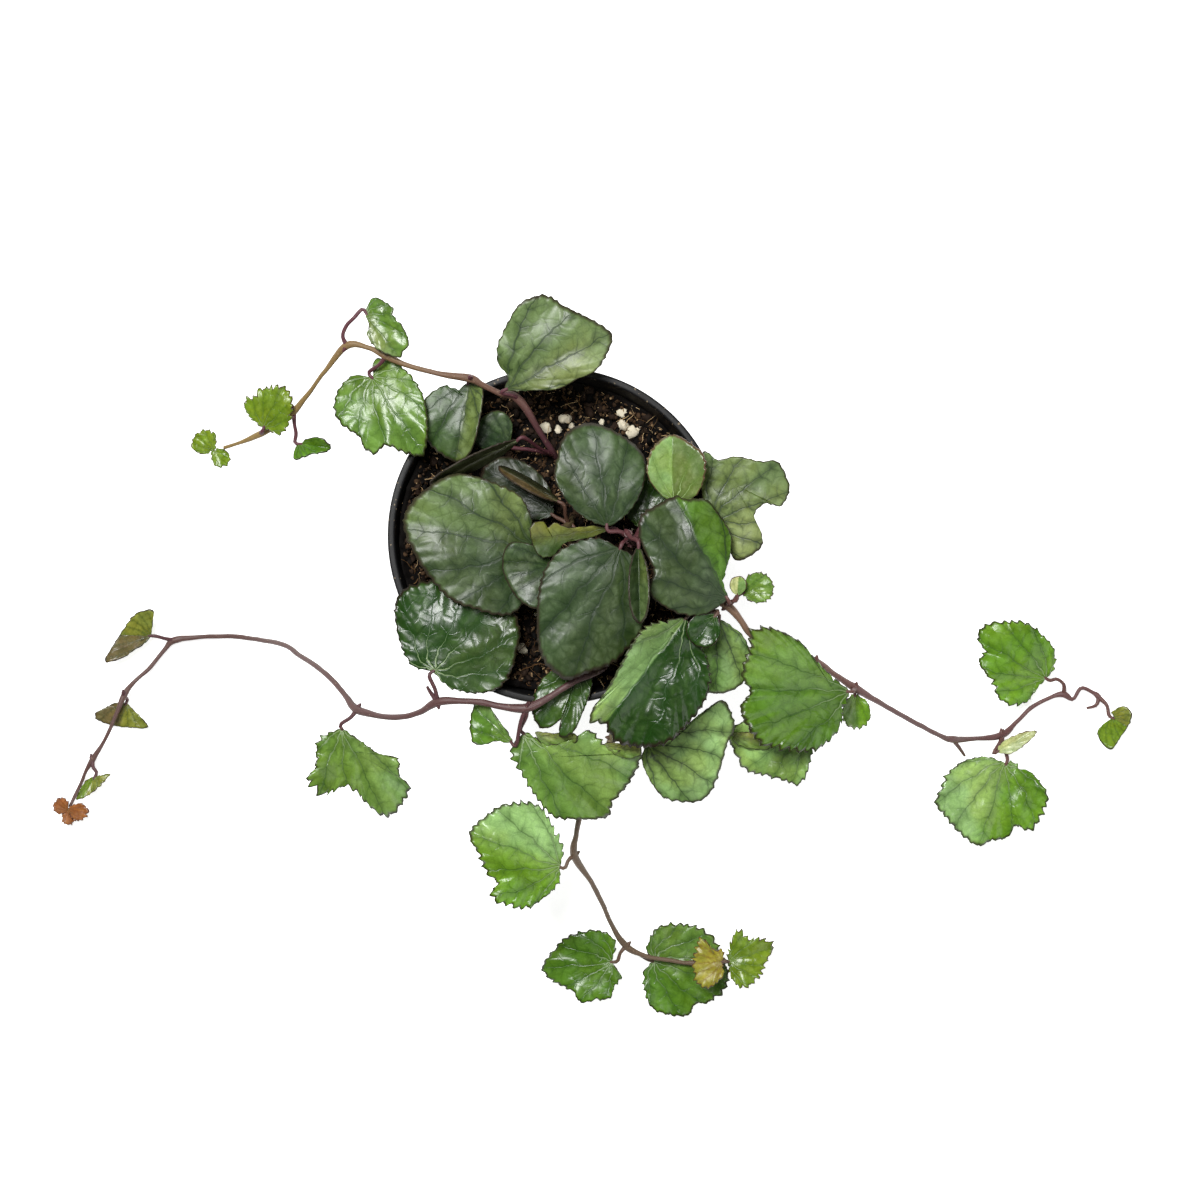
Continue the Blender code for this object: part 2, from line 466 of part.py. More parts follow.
def turned(name, profile, sides):
    """A closed shape of revolution about Z from (radius, height) points that start and end on the axis."""
    corners, faces, rings = [], [], []
    for radius, height in profile:
        if radius == 0.0:
            rings.append([len(corners)])
            corners.append(Vector((0.0, 0.0, height)))
            continue
        rings.append(list(range(len(corners), len(corners) + sides)))
        for side in range(sides):
            angle = math.tau * side / sides
            corners.append(Vector((radius * math.cos(angle), radius * math.sin(angle), height)))
    for low, high in zip(rings, rings[1:]):
        for side in range(sides):
            after = (side + 1) % sides
            face = [low[side % len(low)], low[after % len(low)]]
            face += [high[after % len(high)], high[side % len(high)]]
            faces.append(list(dict.fromkeys(face)))
    made = mesh_from(name, corners, faces)
    shape = bmesh.new()
    shape.from_mesh(made)
    bmesh.ops.recalc_face_normals(shape, faces=shape.faces)
    shape.to_mesh(made)
    shape.free()
    return made


def pot_radius(height):
    """The outer radius of the pot's tapering wall."""
    base = BASE_DIAMETER / 2
    top = RIM_DIAMETER / 2 - RIM_OVERHANG
    return base + (top - base) * height / POT_HEIGHT


def soil_level(x, y):
    """The height of the peat's surface."""
    slope = -SOIL_SLOPE * (x + y) / RIM_DIAMETER * 2
    lumps = math.sin(0.31 * x + 1.0) * math.cos(0.27 * y) + 0.6 * math.sin(0.55 * x - 0.47 * y)
    return SOIL_HEIGHT + slope + SOIL_LUMP * lumps


def make_pot():
    """The thin-walled pot, open at the top, with a rolled rim and drain holes near the base's edge."""
    rim = RIM_DIAMETER / 2
    band_foot = POT_HEIGHT - RIM_BAND_HEIGHT
    profile = [
        (0.0, 0.0),
        (BASE_DIAMETER / 2 - 1.5, 0.0),
        (BASE_DIAMETER / 2, 1.5),
        (pot_radius(band_foot), band_foot),
        (rim, band_foot + RIM_OVERHANG),
        (rim, POT_HEIGHT - 0.8),
        (rim - 0.8, POT_HEIGHT),
        (rim - 1.8, POT_HEIGHT),
        (pot_radius(POT_HEIGHT) - WALL, POT_HEIGHT - 1.4),
        (pot_radius(FLOOR) - WALL, FLOOR),
        (0.0, FLOOR),
    ]
    body = add_object("pot", turned("pot", profile, POT_SIDES))
    cutters = []
    for hole in range(DRAIN_HOLES):
        angle = math.tau * hole / DRAIN_HOLES
        reach = DRAIN_CIRCLE_DIAMETER / 2
        shape = bmesh.new()
        bmesh.ops.create_cone(
            shape, cap_ends=True, segments=12, depth=4 * FLOOR * MM,
            radius1=DRAIN_HOLE_DIAMETER / 2 * MM, radius2=DRAIN_HOLE_DIAMETER / 2 * MM,
            matrix=Matrix.Translation((reach * math.cos(angle) * MM, reach * math.sin(angle) * MM, 0.0)),
        )
        mesh = bpy.data.meshes.new("drain")
        shape.to_mesh(mesh)
        shape.free()
        cutters.append(add_object("drain", mesh))
    mesh = combined(body, cutters, "DIFFERENCE")
    made = add_object("pot", mesh, material("pot_plastic", (0.012, 0.012, 0.013), 0.38))
    made.data.shade_smooth()
    made.data.set_sharp_from_angle(angle=math.radians(30))


def make_soil():
    """The peat that fills the pot, with granules raised from its surface and a hole for each stem."""
    wall_gap = WALL + GAP
    profile = [(0.0, FLOOR + GAP), (pot_radius(FLOOR) - wall_gap, FLOOR + GAP)]
    edge = pot_radius(SOIL_HEIGHT) - wall_gap
    profile += [(edge * ring / SOIL_RINGS, SOIL_HEIGHT) for ring in range(SOIL_RINGS, 0, -1)]
    profile.append((0.0, SOIL_HEIGHT))
    mesh = turned("soil", profile, POT_SIDES)
    for corner in mesh.vertices:
        if corner.co.z > SOIL_HEIGHT * MM / 2:
            level = soil_level(corner.co.x / MM, corner.co.y / MM)
            if corner.co.xy.length > (edge - 1.0) * MM:
                corner.co.xy *= (pot_radius(level) - wall_gap) / edge
            corner.co.z = level * MM
    body = add_object("soil", mesh)
    granules = []
    for x, y, radius in GRANULES:
        spot = seen((x, y, SOIL_HEIGHT))
        shape = bmesh.new()
        bmesh.ops.create_icosphere(shape, subdivisions=1, radius=radius * MM)
        grain = bpy.data.meshes.new("granule")
        shape.to_mesh(grain)
        shape.free()
        grain.transform(Matrix.Translation((spot.x * MM, spot.y * MM, soil_level(spot.x, spot.y) * MM)))
        granules.append(add_object("granule", grain))
    body = add_object("soil", combined(body, granules, "UNION"))
    drills = []
    for stem in STEMS:
        foot = seen(stem.route[0])
        level = soil_level(foot.x, foot.y)
        shape = bmesh.new()
        bmesh.ops.create_cone(
            shape, cap_ends=True, segments=10, depth=2 * HOLE_DEPTH * MM,
            radius1=(stem.radius + HOLE_CLEARANCE) * MM, radius2=(stem.radius + HOLE_CLEARANCE) * MM,
            matrix=Matrix.Translation((foot.x * MM, foot.y * MM, level * MM)),
        )
        drill = bpy.data.meshes.new("drill")
        shape.to_mesh(drill)
        shape.free()
        drills.append(add_object("drill", drill))
    add_object("soil", combined(body, drills, "DIFFERENCE"), material("peat", (0.03, 0.018, 0.01), 0.95))


def spline_place(before, start, end, after, t):
    """A place between start and end on the smooth curve through four points."""
    return 0.5 * (
        2 * start + (end - before) * t
        + (2 * before - 5 * start + 4 * end - after) * t * t
        + (3 * start - before - 3 * end + after) * t ** 3
    )


def smooth_path(points, spacing):
    """A smooth curve through the points, read about every spacing, as (place, count of points passed)."""
    path = []
    for i in range(len(points) - 1):
        before, start = points[max(i - 1, 0)], points[i]
        end, after = points[i + 1], points[min(i + 2, len(points) - 1)]
        steps = max(1, round((end - start).length / spacing))
        for step in range(steps):
            t = step / steps
            path.append((spline_place(before, start, end, after, t), i + t))
    path.append((points[-1].copy(), len(points) - 1))
    return path


def tube(name, path, radii, sides_setting):
    """A round rod with closed ends along a path, in millimetres."""
    curve = bpy.data.curves.new(name, "CURVE")
    curve.dimensions = "3D"
    curve.bevel_depth = MM
    curve.bevel_resolution = sides_setting
    curve.use_fill_caps = True
    spline = curve.splines.new("POLY")
    spline.points.add(len(path) - 1)
    for point, place, radius in zip(spline.points, path, radii):
        point.co = (*(place * MM), 1.0)
        point.radius = radius
    holder = bpy.data.objects.new(name, curve)
    bpy.context.scene.collection.objects.link(holder)
    mesh = baked(holder)
    bpy.data.curves.remove(curve)
    return add_object(name, mesh)


def stem_radius(stem, joints, passed):
    """The stem's radius: it tapers, and swells where a stalk leaves it."""
    radius = stem.radius + (stem.tip_radius - stem.radius) * passed / (len(stem.route) - 1)
    swelling = max([0.0] + [1.0 - abs(passed - joint) for joint in joints if joint > 1])
    return radius + NODE_SWELLING * swelling ** 2


def stalk_tube(name, places):
    """A stalk's rod through a few places, thinner at its end."""
    path = [place for place, passed in smooth_path(places, PATH_SPACING)]
    return tube(name, path, [PETIOLE_RADIUS] * (len(path) - 1) + [STALK_TIP_RADIUS], 1)


def make_stem(stem):
    """A stem with the stalks of its leaves."""
    leaves = [leaf for leaf in LEAVES if leaf.stem == stem.name]
    joints = [leaf.joint for leaf in leaves]
    points = [seen(place) for place in stem.route]
    points[1].xy = points[0].xy
    path = smooth_path(points, PATH_SPACING)
    radii = [stem_radius(stem, joints, passed) for place, passed in path]
    body = tube(stem.name, [place for place, passed in path], radii, 1)
    branches = []
    for leaf in leaves:
        start, end = points[leaf.joint], seen(leaf.base)
        along = (seen(leaf.tip) - end).normalized()
        end = end - along * STALK_GAP
        via = [seen(place) for place in leaf.via]
        if not via:
            reach = (end - start).length
            via = [start + (end - start) * 0.4 + Vector((0.0, 0.0, 0.06 * reach))]
        branches.append(stalk_tube("stalk", [start, *via, end - along * STALK_END, end]))
    for joint, places in stem.twigs:
        branches.append(stalk_tube("twig", [points[joint]] + [seen(place) for place in places]))
    mesh = combined(body, branches, "UNION")
    made = add_object(stem.name, mesh, material(stem.name + "_bark", stem.colour, 0.5))
    made.data.shade_smooth()


def blade_plan(leaf):
    """The blade's length and its directions, along the midrib and to its left, as seen from above."""
    run = Vector(leaf.tip[:2]) - Vector(leaf.base[:2])
    along = run.normalized()
    return run.length, along, Vector((-along.y, along.x))


def blade_outline(leaf):
    """The edge's main places over the blade's length, as (along, across), from the base round."""
    length, along, across = blade_plan(leaf)
    if leaf.outline:
        spots = [Vector(spot) - Vector(leaf.base[:2]) for spot in leaf.outline]
        return [Vector((0.0, 0.0))] + [Vector((s.dot(along), s.dot(across))) / length for s in spots]
    places = []
    for i in range(OVAL_POINTS):
        turn = math.tau * i / OVAL_POINTS
        side = leaf.lift[1] if math.sin(turn) > 0 else leaf.lift[0]
        half = leaf.width / 2 / length * math.cos(math.radians(side))
        notch = OVAL_NOTCH * math.cos(turn / 2) ** 8
        taper = 1.0 + OVAL_BASE_SWELL - OVAL_TIP_TAPER * math.cos(turn)
        places.append(Vector((0.5 - 0.5 * math.cos(turn) + notch, -half * math.sin(turn) * taper)))
    places[0] = Vector((0.0, 0.0))
    return places


def edge_room(main, spot):
    """How far the spot stands inside the nearest of the lines that the edge's sides lie on."""
    sides = list(zip(main, main[1:] + main[:1]))
    facing = math.copysign(1.0, sum(start.cross(end) for start, end in sides))
    return min(facing * (start - spot).cross(end - spot) / (end - start).length for start, end in sides)


def blade_hub(main):
    """The place on the midrib nearest the base that sees the whole edge, or the best place beside it."""
    count = round((HUB_RANGE[1] - HUB_RANGE[0]) / HUB_STEP) + 1
    steps = [HUB_RANGE[0] + HUB_STEP * i for i in range(count)]
    for u in steps:
        if edge_room(main, Vector((u, 0.0))) > HUB_ROOM:
            return Vector((u, 0.0))
    beside = [Vector((u, HUB_STEP * side)) for u in steps for side in range(-8, 9)]
    return max(beside, key=lambda spot: edge_room(main, spot))


def blade_place(leaf, u, v, margin, turn):
    """The place in space of a point of the blade's middle surface."""
    length, along, across = blade_plan(leaf)
    spot = Vector(leaf.base[:2]) + (along * u + across * v) * length
    height = leaf.base[2] + (leaf.tip[2] - leaf.base[2]) * u
    slope = math.tan(math.radians(leaf.lift[0] if v > 0 else leaf.lift[1]))
    height += (math.hypot(v, CREASE) - CREASE) * length * slope
    height += leaf.arch * length * 4.0 * u * (1.0 - u)
    phase = float(sum(map(ord, leaf.name)) % 16)
    wave = math.sin(WAVES * turn + phase) * (0.5 - 0.5 * math.cos(turn))
    height += LOOKS[leaf.look].wave * length * margin * margin * wave
    return seen((*spot, height))


def blade_mesh(leaf, name):
    """The blade's middle surface: a hub, an inner ring and the toothed edge, all triangles."""
    main = blade_outline(leaf)
    count = len(main)
    hub = blade_hub(main)
    corners = [blade_place(leaf, *hub, 0.0, 0.0)]
    for i, spot in enumerate(main):
        u, v = hub + (spot - hub) * INNER_RING
        corners.append(blade_place(leaf, u, v, INNER_RING, math.tau * i / count))
    for i in range(count):
        before, start = main[i - 1], main[i]
        end, after = main[(i + 1) % count], main[(i + 2) % count]
        for step in range(EDGE_STEPS):
            t = step / EDGE_STEPS
            spot = spline_place(before, start, end, after, t)
            tooth = LOOKS[leaf.look].teeth * (1.0 if step else -1.0)
            spot += (spot - hub).normalized() * tooth * (0.0 if i == 0 and step == 0 else 1.0)
            corners.append(blade_place(leaf, *spot, 1.0, math.tau * (i + t) / count))
    faces = []
    for i in range(count):
        after = (i + 1) % count
        outer = [1 + count + (EDGE_STEPS * i + k) % (EDGE_STEPS * count) for k in range(EDGE_STEPS + 1)]
        faces.append((0, 1 + after, 1 + i))
        faces.append((1 + i, outer[1], outer[0]))
        faces.append((1 + i, 1 + after, outer[1]))
        faces.append((1 + after, outer[2], outer[1]))
    return mesh_from(name, corners, faces)


def solid_blade(leaf, name):
    """An object holding the blade with its thickness, as a closed mesh."""
    holder = add_object(name, blade_mesh(leaf, name))
    thicken = holder.modifiers.new("thickness", "SOLIDIFY")
    thicken.thickness = LEAF_THICKNESS * MM
    thicken.offset = 0.0
    return add_object(name, baked(holder))


def finish_leaf(blade, look):
    """Names the leaf's finish and smooths its shading."""
    blade.data.materials.clear()
    blade.data.materials.append(material(blade.name + "_skin", LOOKS[look].colour, 0.35))
    blade.data.shade_smooth()
    blade.data.set_sharp_from_angle(angle=math.radians(50))


def make_leaf(leaf):
    """One leaf as its own piece."""
    finish_leaf(solid_blade(leaf, leaf.name), leaf.look)


def make_cluster(name, base, look, blades):
    """Small leaves that grow from one point, as one piece."""
    solids = []
    for number, (tip, width) in enumerate(blades):
        leaf = Leaf(f"{name}_{number}", "", 0, base, tip, (10, 10), look, 0.06, width)
        solids.append(solid_blade(leaf, "young"))
    foot = seen(base)
    shape = bmesh.new()
    bmesh.ops.create_icosphere(
        shape, subdivisions=1, radius=BUD_RADIUS * MM, matrix=Matrix.Translation(foot * MM)
    )
    mesh = bpy.data.meshes.new("bud")
    shape.to_mesh(mesh)
    shape.free()
    mesh = combined(add_object("bud", mesh), solids, "UNION")
    finish_leaf(add_object(name, mesh), look)


for old in list(bpy.data.objects):
    bpy.data.objects.remove(old)

make_pot()
make_soil()
for stem in STEMS:
    make_stem(stem)
for leaf in LEAVES:
    make_leaf(leaf)
for cluster in TIP_CLUSTERS:
    make_cluster(*cluster)
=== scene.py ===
# %% [markdown]
# # Potted cape ivy, looked at from above
# A round black nursery pot of peat, four long trailing runners, three short stems and 46 leaves with
# the crowded young leaves at two runners' ends. The solid parts come from the CAD frame. This notebook
# builds the finer pieces over them: leaves with veins and teeth, bark, peat, and the plastic of the pot.
#
# Everything that grows follows a few rules, so most pieces come from Geometry Nodes trees that are
# built here: one tree for all leaf blades, one for all stems, one for the loose things on the peat.

# %% Load the frame
import math
import random
from collections import namedtuple

import bmesh
import bpy
from mathutils import Euler, Matrix, Vector
from mathutils.noise import noise_vector, seed_set


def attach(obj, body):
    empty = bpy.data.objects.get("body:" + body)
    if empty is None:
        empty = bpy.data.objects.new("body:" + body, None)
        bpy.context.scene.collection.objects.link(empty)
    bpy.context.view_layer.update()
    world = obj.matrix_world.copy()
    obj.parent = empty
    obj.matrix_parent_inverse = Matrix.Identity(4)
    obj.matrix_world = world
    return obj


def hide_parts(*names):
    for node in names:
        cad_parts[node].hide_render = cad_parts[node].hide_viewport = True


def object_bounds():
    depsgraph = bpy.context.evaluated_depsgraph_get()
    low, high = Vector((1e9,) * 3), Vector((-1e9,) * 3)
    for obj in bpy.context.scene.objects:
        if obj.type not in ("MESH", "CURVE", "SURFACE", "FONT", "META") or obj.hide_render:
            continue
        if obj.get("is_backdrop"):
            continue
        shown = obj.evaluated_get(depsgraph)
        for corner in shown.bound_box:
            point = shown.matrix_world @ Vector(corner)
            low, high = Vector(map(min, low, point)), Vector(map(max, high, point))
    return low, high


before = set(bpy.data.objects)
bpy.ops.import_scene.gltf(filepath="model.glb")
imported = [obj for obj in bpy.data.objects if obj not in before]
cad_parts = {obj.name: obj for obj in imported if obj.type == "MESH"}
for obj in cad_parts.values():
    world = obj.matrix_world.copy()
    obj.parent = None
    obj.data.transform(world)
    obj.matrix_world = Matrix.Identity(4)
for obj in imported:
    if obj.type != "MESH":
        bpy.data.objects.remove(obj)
frame_low, frame_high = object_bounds()
print("frame:", len(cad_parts), "nodes, in metres", [round(side, 4) for side in frame_high - frame_low])

# %% [markdown]
# ## Driving dimensions
# The real pot is a common 10 cm nursery pot. Its rim, wall and height are named here once, in
# millimetres, and the peat, the stems' feet and the leaves' places follow from them. A photograph
# taken from one place makes high things look bigger than low ones, so the tables below hold places
# as they look against the rim's plane, and `seen` moves each one along the line of sight to its height.

# %% Dimensions
# All lengths are in millimetres. EYE is where the camera stands, measured from the pot's axis.
MM = 0.001
RIM_DIAMETER = 102.0
RIM_BAND_HEIGHT = 9.0
RIM_OVERHANG = 1.3
POT_HEIGHT = 88.0
BASE_DIAMETER = 72.0
WALL = 1.2
FLOOR = 1.8
DRAIN_HOLES = 6
DRAIN_HOLE_DIAMETER = 7.0
DRAIN_CIRCLE_DIAMETER = 50.0
SOIL_HEIGHT = 76.5
SOIL_SLOPE = 1.8
SOIL_LUMP = 0.7
GAP = 0.3
BLADE_THICKNESS = 0.5
STALK_RADIUS = 0.75
EYE = Vector((13.3, -19.4, 945.0))
print("pot", RIM_DIAMETER, "by", POT_HEIGHT, "mm, camera", EYE.z, "mm up")


def seen(place):
    """The place in space, in millimetres, of a point noted as seen from above."""
    x, y, z = place
    spread = (EYE.z - z) / (EYE.z - POT_HEIGHT)
    return Vector((EYE.x + (x - EYE.x) * spread, EYE.y + (y - EYE.y) * spread, z))


# %% [markdown]
# ## The plant, as read from the photograph
# A real plant has no drawing, so its stems and leaves are listed, in millimetres. A stem is the row of
# places it passes from its foot in the peat to its end, its radius at both ends, and its side twigs,
# each with the number of the place that it leaves. Curves drawn by hand would do as well, but a list
# can be read, checked against the photograph and mended one number at a time.

# %% Stems of the left runners
Stem = namedtuple("Stem", "name route radius tip_radius twigs")
STEMS = [
    Stem(
        "runner_northwest",
        [
            (-0.3, 23.9, 69.0), (-0.3, 24.2, 77.5), (-5.2, 32.0, 85.0), (-11.5, 41.5, 90.5),
            (-17.0, 43.2, 92.5), (-22.5, 45.8, 94.0), (-26.0, 47.6, 95.0), (-35.1, 49.0, 96.0),
            (-45.5, 51.8, 96.0), (-51.5, 54.5, 95.5), (-57.0, 56.9, 95.0), (-63.3, 57.6, 94.0),
            (-70.0, 49.7, 89.0), (-74.5, 43.6, 84.5), (-79.4, 37.6, 80.0), (-84.5, 33.5, 75.5),
            (-89.1, 30.9, 72.5), (-95.7, 28.2, 69.0), (-100.4, 26.7, 66.8),
        ],
        1.25, 0.7, [],
    ),
    Stem(
        "runner_west",
        [
            (17.5, -31.0, 68.5), (17.5, -31.3, 77.5), (15.8, -36.8, 87.0), (13.0, -40.2, 91.0),
            (5.8, -43.8, 93.5), (-1.8, -48.5, 94.5), (-8.8, -52.1, 94.5), (-17.0, -51.5, 93.5),
            (-23.0, -50.3, 93.0), (-29.1, -50.0, 92.0), (-35.8, -50.3, 90.0), (-41.2, -53.3, 86.0),
            (-47.3, -54.8, 81.0), (-53.3, -54.5, 75.0), (-60.3, -52.4, 67.0), (-63.9, -48.2, 61.0),
            (-68.5, -42.7, 53.0), (-73.0, -39.1, 45.0), (-77.6, -36.1, 36.0), (-82.1, -33.0, 27.0),
            (-89.1, -31.5, 15.0), (-95.7, -30.6, 8.0), (-101.8, -30.3, 4.5), (-107.9, -30.6, 2.8),
            (-115.4, -31.5, 2.2), (-118.5, -34.5, 2.2), (-123.0, -40.0, 2.6), (-127.6, -44.2, 3.6),
            (-130.6, -48.2, 4.8), (-132.7, -53.3, 5.4), (-135.1, -58.8, 5.2), (-137.3, -63.3, 4.4),
            (-140.3, -67.9, 3.4), (-142.1, -70.9, 2.8), (-143.6, -74.8, 2.4), (-145.7, -79.1, 2.5),
            (-147.0, -82.0, 3.0),
        ],
        1.35, 0.7,
        [(10, [(-37.8, -47.6, 90.5), (-39.0, -45.6, 91.5)])],
    ),
]
print("left runners:", *[stem.name for stem in STEMS])

# %% Stems of the lower and right runners
STEMS += [
    Stem(
        "runner_south",
        [
            (27.0, -31.5, 68.5), (27.0, -31.8, 77.0), (24.8, -39.5, 88.5), (21.4, -47.3, 91.5),
            (18.6, -54.5, 88.0), (17.0, -61.2, 80.0), (13.3, -70.9, 71.0), (9.7, -78.5, 63.0),
            (7.0, -85.4, 56.0), (6.1, -90.6, 51.0), (5.5, -96.7, 45.0), (10.3, -104.2, 36.0),
            (13.3, -109.7, 29.0), (17.0, -117.9, 18.0), (21.2, -124.2, 10.5), (27.0, -127.0, 8.5),
            (33.0, -128.2, 7.8), (39.1, -129.1, 7.2), (43.6, -129.1, 7.0), (51.0, -128.5, 6.5),
        ],
        1.25, 0.8, [],
    ),
    Stem(
        "runner_east",
        [
            (33.9, -8.8, 67.5), (33.9, -9.1, 76.5), (38.2, -13.0, 87.0), (46.5, -18.3, 91.7),
            (51.8, -21.1, 92.3), (55.8, -25.5, 91.5), (58.8, -29.7, 89.5), (64.8, -33.9, 86.0),
            (72.4, -36.2, 82.0), (78.5, -38.2, 78.0), (84.5, -42.1, 73.0), (90.6, -46.1, 67.0),
            (98.2, -50.6, 58.0), (107.3, -55.8, 44.0), (116.4, -60.6, 29.0), (120.0, -61.5, 23.0),
            (127.0, -61.3, 12.0), (134.8, -60.3, 4.5), (139.1, -56.4, 2.6), (143.6, -52.1, 2.2),
            (149.7, -48.8, 2.2), (153.6, -47.9, 2.2), (156.4, -49.4, 2.2), (158.8, -46.1, 2.2),
            (162.4, -47.3, 2.2), (164.2, -48.8, 2.2),
        ],
        1.30, 0.75,
        [
            (15, [(122.0, -64.2, 18.0), (123.6, -66.4, 13.5)]),
            (25, [(163.4, -51.2, 2.4), (160.6, -52.2, 2.8)]),
        ],
    ),
]
print("runners:", len(STEMS))

# %% Short stems
STEMS += [
    Stem(
        "stem_west",
        [(5.0, 5.0, 68.5), (5.0, 4.9, 77.0), (4.0, 3.4, 85.0), (1.5, 1.5, 90.0)],
        1.1, 0.9, [],
    ),
    Stem(
        "stem_centre",
        [
            (24.5, -3.5, 67.5), (24.5, -3.4, 76.5), (23.4, -1.6, 90.0), (22.0, 0.0, 98.0),
            (21.8, 0.6, 101.0),
        ],
        1.4, 1.0, [],
    ),
    Stem(
        "stem_southeast",
        [
            (31.0, -18.0, 67.5), (31.0, -18.1, 76.5), (34.0, -19.8, 87.0), (38.4, -21.4, 91.3),
            (43.6, -22.4, 92.0),
        ],
        1.1, 0.8, [],
    ),
]
print(len(STEMS), "stems,", sum(len(stem.route) for stem in STEMS), "places")

# %% [markdown]
# ### The leaves
# On the plant each leaf stands on a stalk of its own, and its blade has a left and a right half that
# meet at the midrib. The rows below say, in this order, which place of the stem the stalk leaves, where
# the blade begins and where its tip is, the slope of its left and right halves in degrees, its age, the
# colours of those halves, how high it arches for its length, and the corners of its edge, from the base
# round. An oval leaf has its width there. Any places after that are ones its stalk passes. The leaves
# could be modelled one by one, but a table keeps every one of them easy to move.

# %% Leaf list
LEAF_WORDS = "name stem joint base tip lift look left right arch width outline via"
Leaf = namedtuple("Leaf", LEAF_WORDS, defaults=((), ()))
LEAVES = []


def add_leaves(side, stem, rows, first=1):
    """Lists one stem's leaves, which are numbered from its foot outwards."""
    for number, (joint, base, tip, lift, look, left, right, arch, edge, *via) in enumerate(rows, first):
        shape = (edge, ()) if isinstance(edge, float) else (0.0, edge)
        name = f"leaf_{side}_{number}"
        LEAVES.append(Leaf(name, stem, joint, base, tip, lift, look, left, right, arch, *shape, via))
    print(stem, "carries", len(rows), "leaves")


# %% Leaves of the upper left runner
add_leaves("northwest", "runner_northwest", [
    (3, (-15.2, 44.2, 96.0), (16.7, 61.2, 100.0), (4, -6), "old", "grey", "pearl", 0.07,
     ((-14.5, 48), (-17.5, 52.5), (-17.5, 58), (-13.5, 66.5), (-10.5, 70.5), (-6, 72.5), (-2, 72.5),
      (2.5, 69.5), (11.5, 65), (16.5, 61.5), (16.5, 57.5), (12.5, 50.5), (6.5, 47.5), (0.5, 44.5),
      (-8.5, 44))),
    (6, (-26.6, 46.2, 90.3), (-30.6, 22.7, 90.0), (30, -2), "old", "grey", "moss", 0.06,
     ((-22.5, 45.5), (-22.5, 38.5), (-25.5, 26), (-30.5, 22.5), (-38, 27.5), (-39.5, 32), (-40, 40),
      (-38, 43), (-33.5, 45.5), (-30, 44))),
    # This low leaf lies under others, and its near-black greens are painted shade.
    (1, (-14.5, 27.8, 82.5), (-23.0, 35.3, 84.5), (0, 0), "old", "deep", "slate", 0.06, 12.0),
    (1, (-11.2, 29.1, 92.5), (-38.2, 15.5, 93.5), (-74, 74), "olive", "shade", "shade", 0.06, 15.0),
    (9, (-55.7, 48.1, 91.1), (-40.0, 24.5, 94.0), (4, -3), "fresh", "fern", "fern", 0.04,
     ((-55, 53), (-50.5, 53), (-46, 50.5), (-41, 44), (-39, 35.5), (-40, 25), (-45, 25), (-51.5, 27.5),
      (-54.5, 25), (-58, 26.5), (-59.5, 30), (-65, 34), (-67, 39), (-65.5, 44.5), (-61, 48.5))),
    (11, (-57.6, 67.3, 97.0), (-47.9, 54.5, 99.0), (10, 6), "fresh", "fern", "pearl", 0.05,
     ((-56.5, 70.5), (-54.5, 72), (-50, 69.5), (-49, 66), (-46.5, 63.5), (-44.5, 58.5), (-46, 56),
      (-48, 54), (-54, 56.5), (-57, 60.5), (-56.5, 63.5)),
     (-64.5, 60.5, 95.0), (-63.4, 63.6, 96.0), (-61.2, 65.8, 96.6)),
    (14, (-77.3, 27.9, 77.0), (-68.5, 26.7, 79.0), (42, 32), "fresh", "leaf", "leaf", 0.05,
     ((-74.5, 29.5), (-71, 29.5), (-68, 26.5), (-71.5, 25), (-75, 24.5), (-79, 23), (-79, 26)),
     (-79.2, 34.0, 79.0), (-78.6, 31.0, 77.5)),
    (16, (-88.5, 32.7, 78.5), (-83.3, 44.2, 82.5), (4, 14), "young", "lime", "lime", 0.06,
     ((-91.5, 35), (-93.5, 37.5), (-94, 40.5), (-91, 42), (-89.5, 44), (-83.5, 45), (-80.5, 43), (-80, 38),
      (-81, 34), (-83.5, 31), (-86.5, 32))),
])

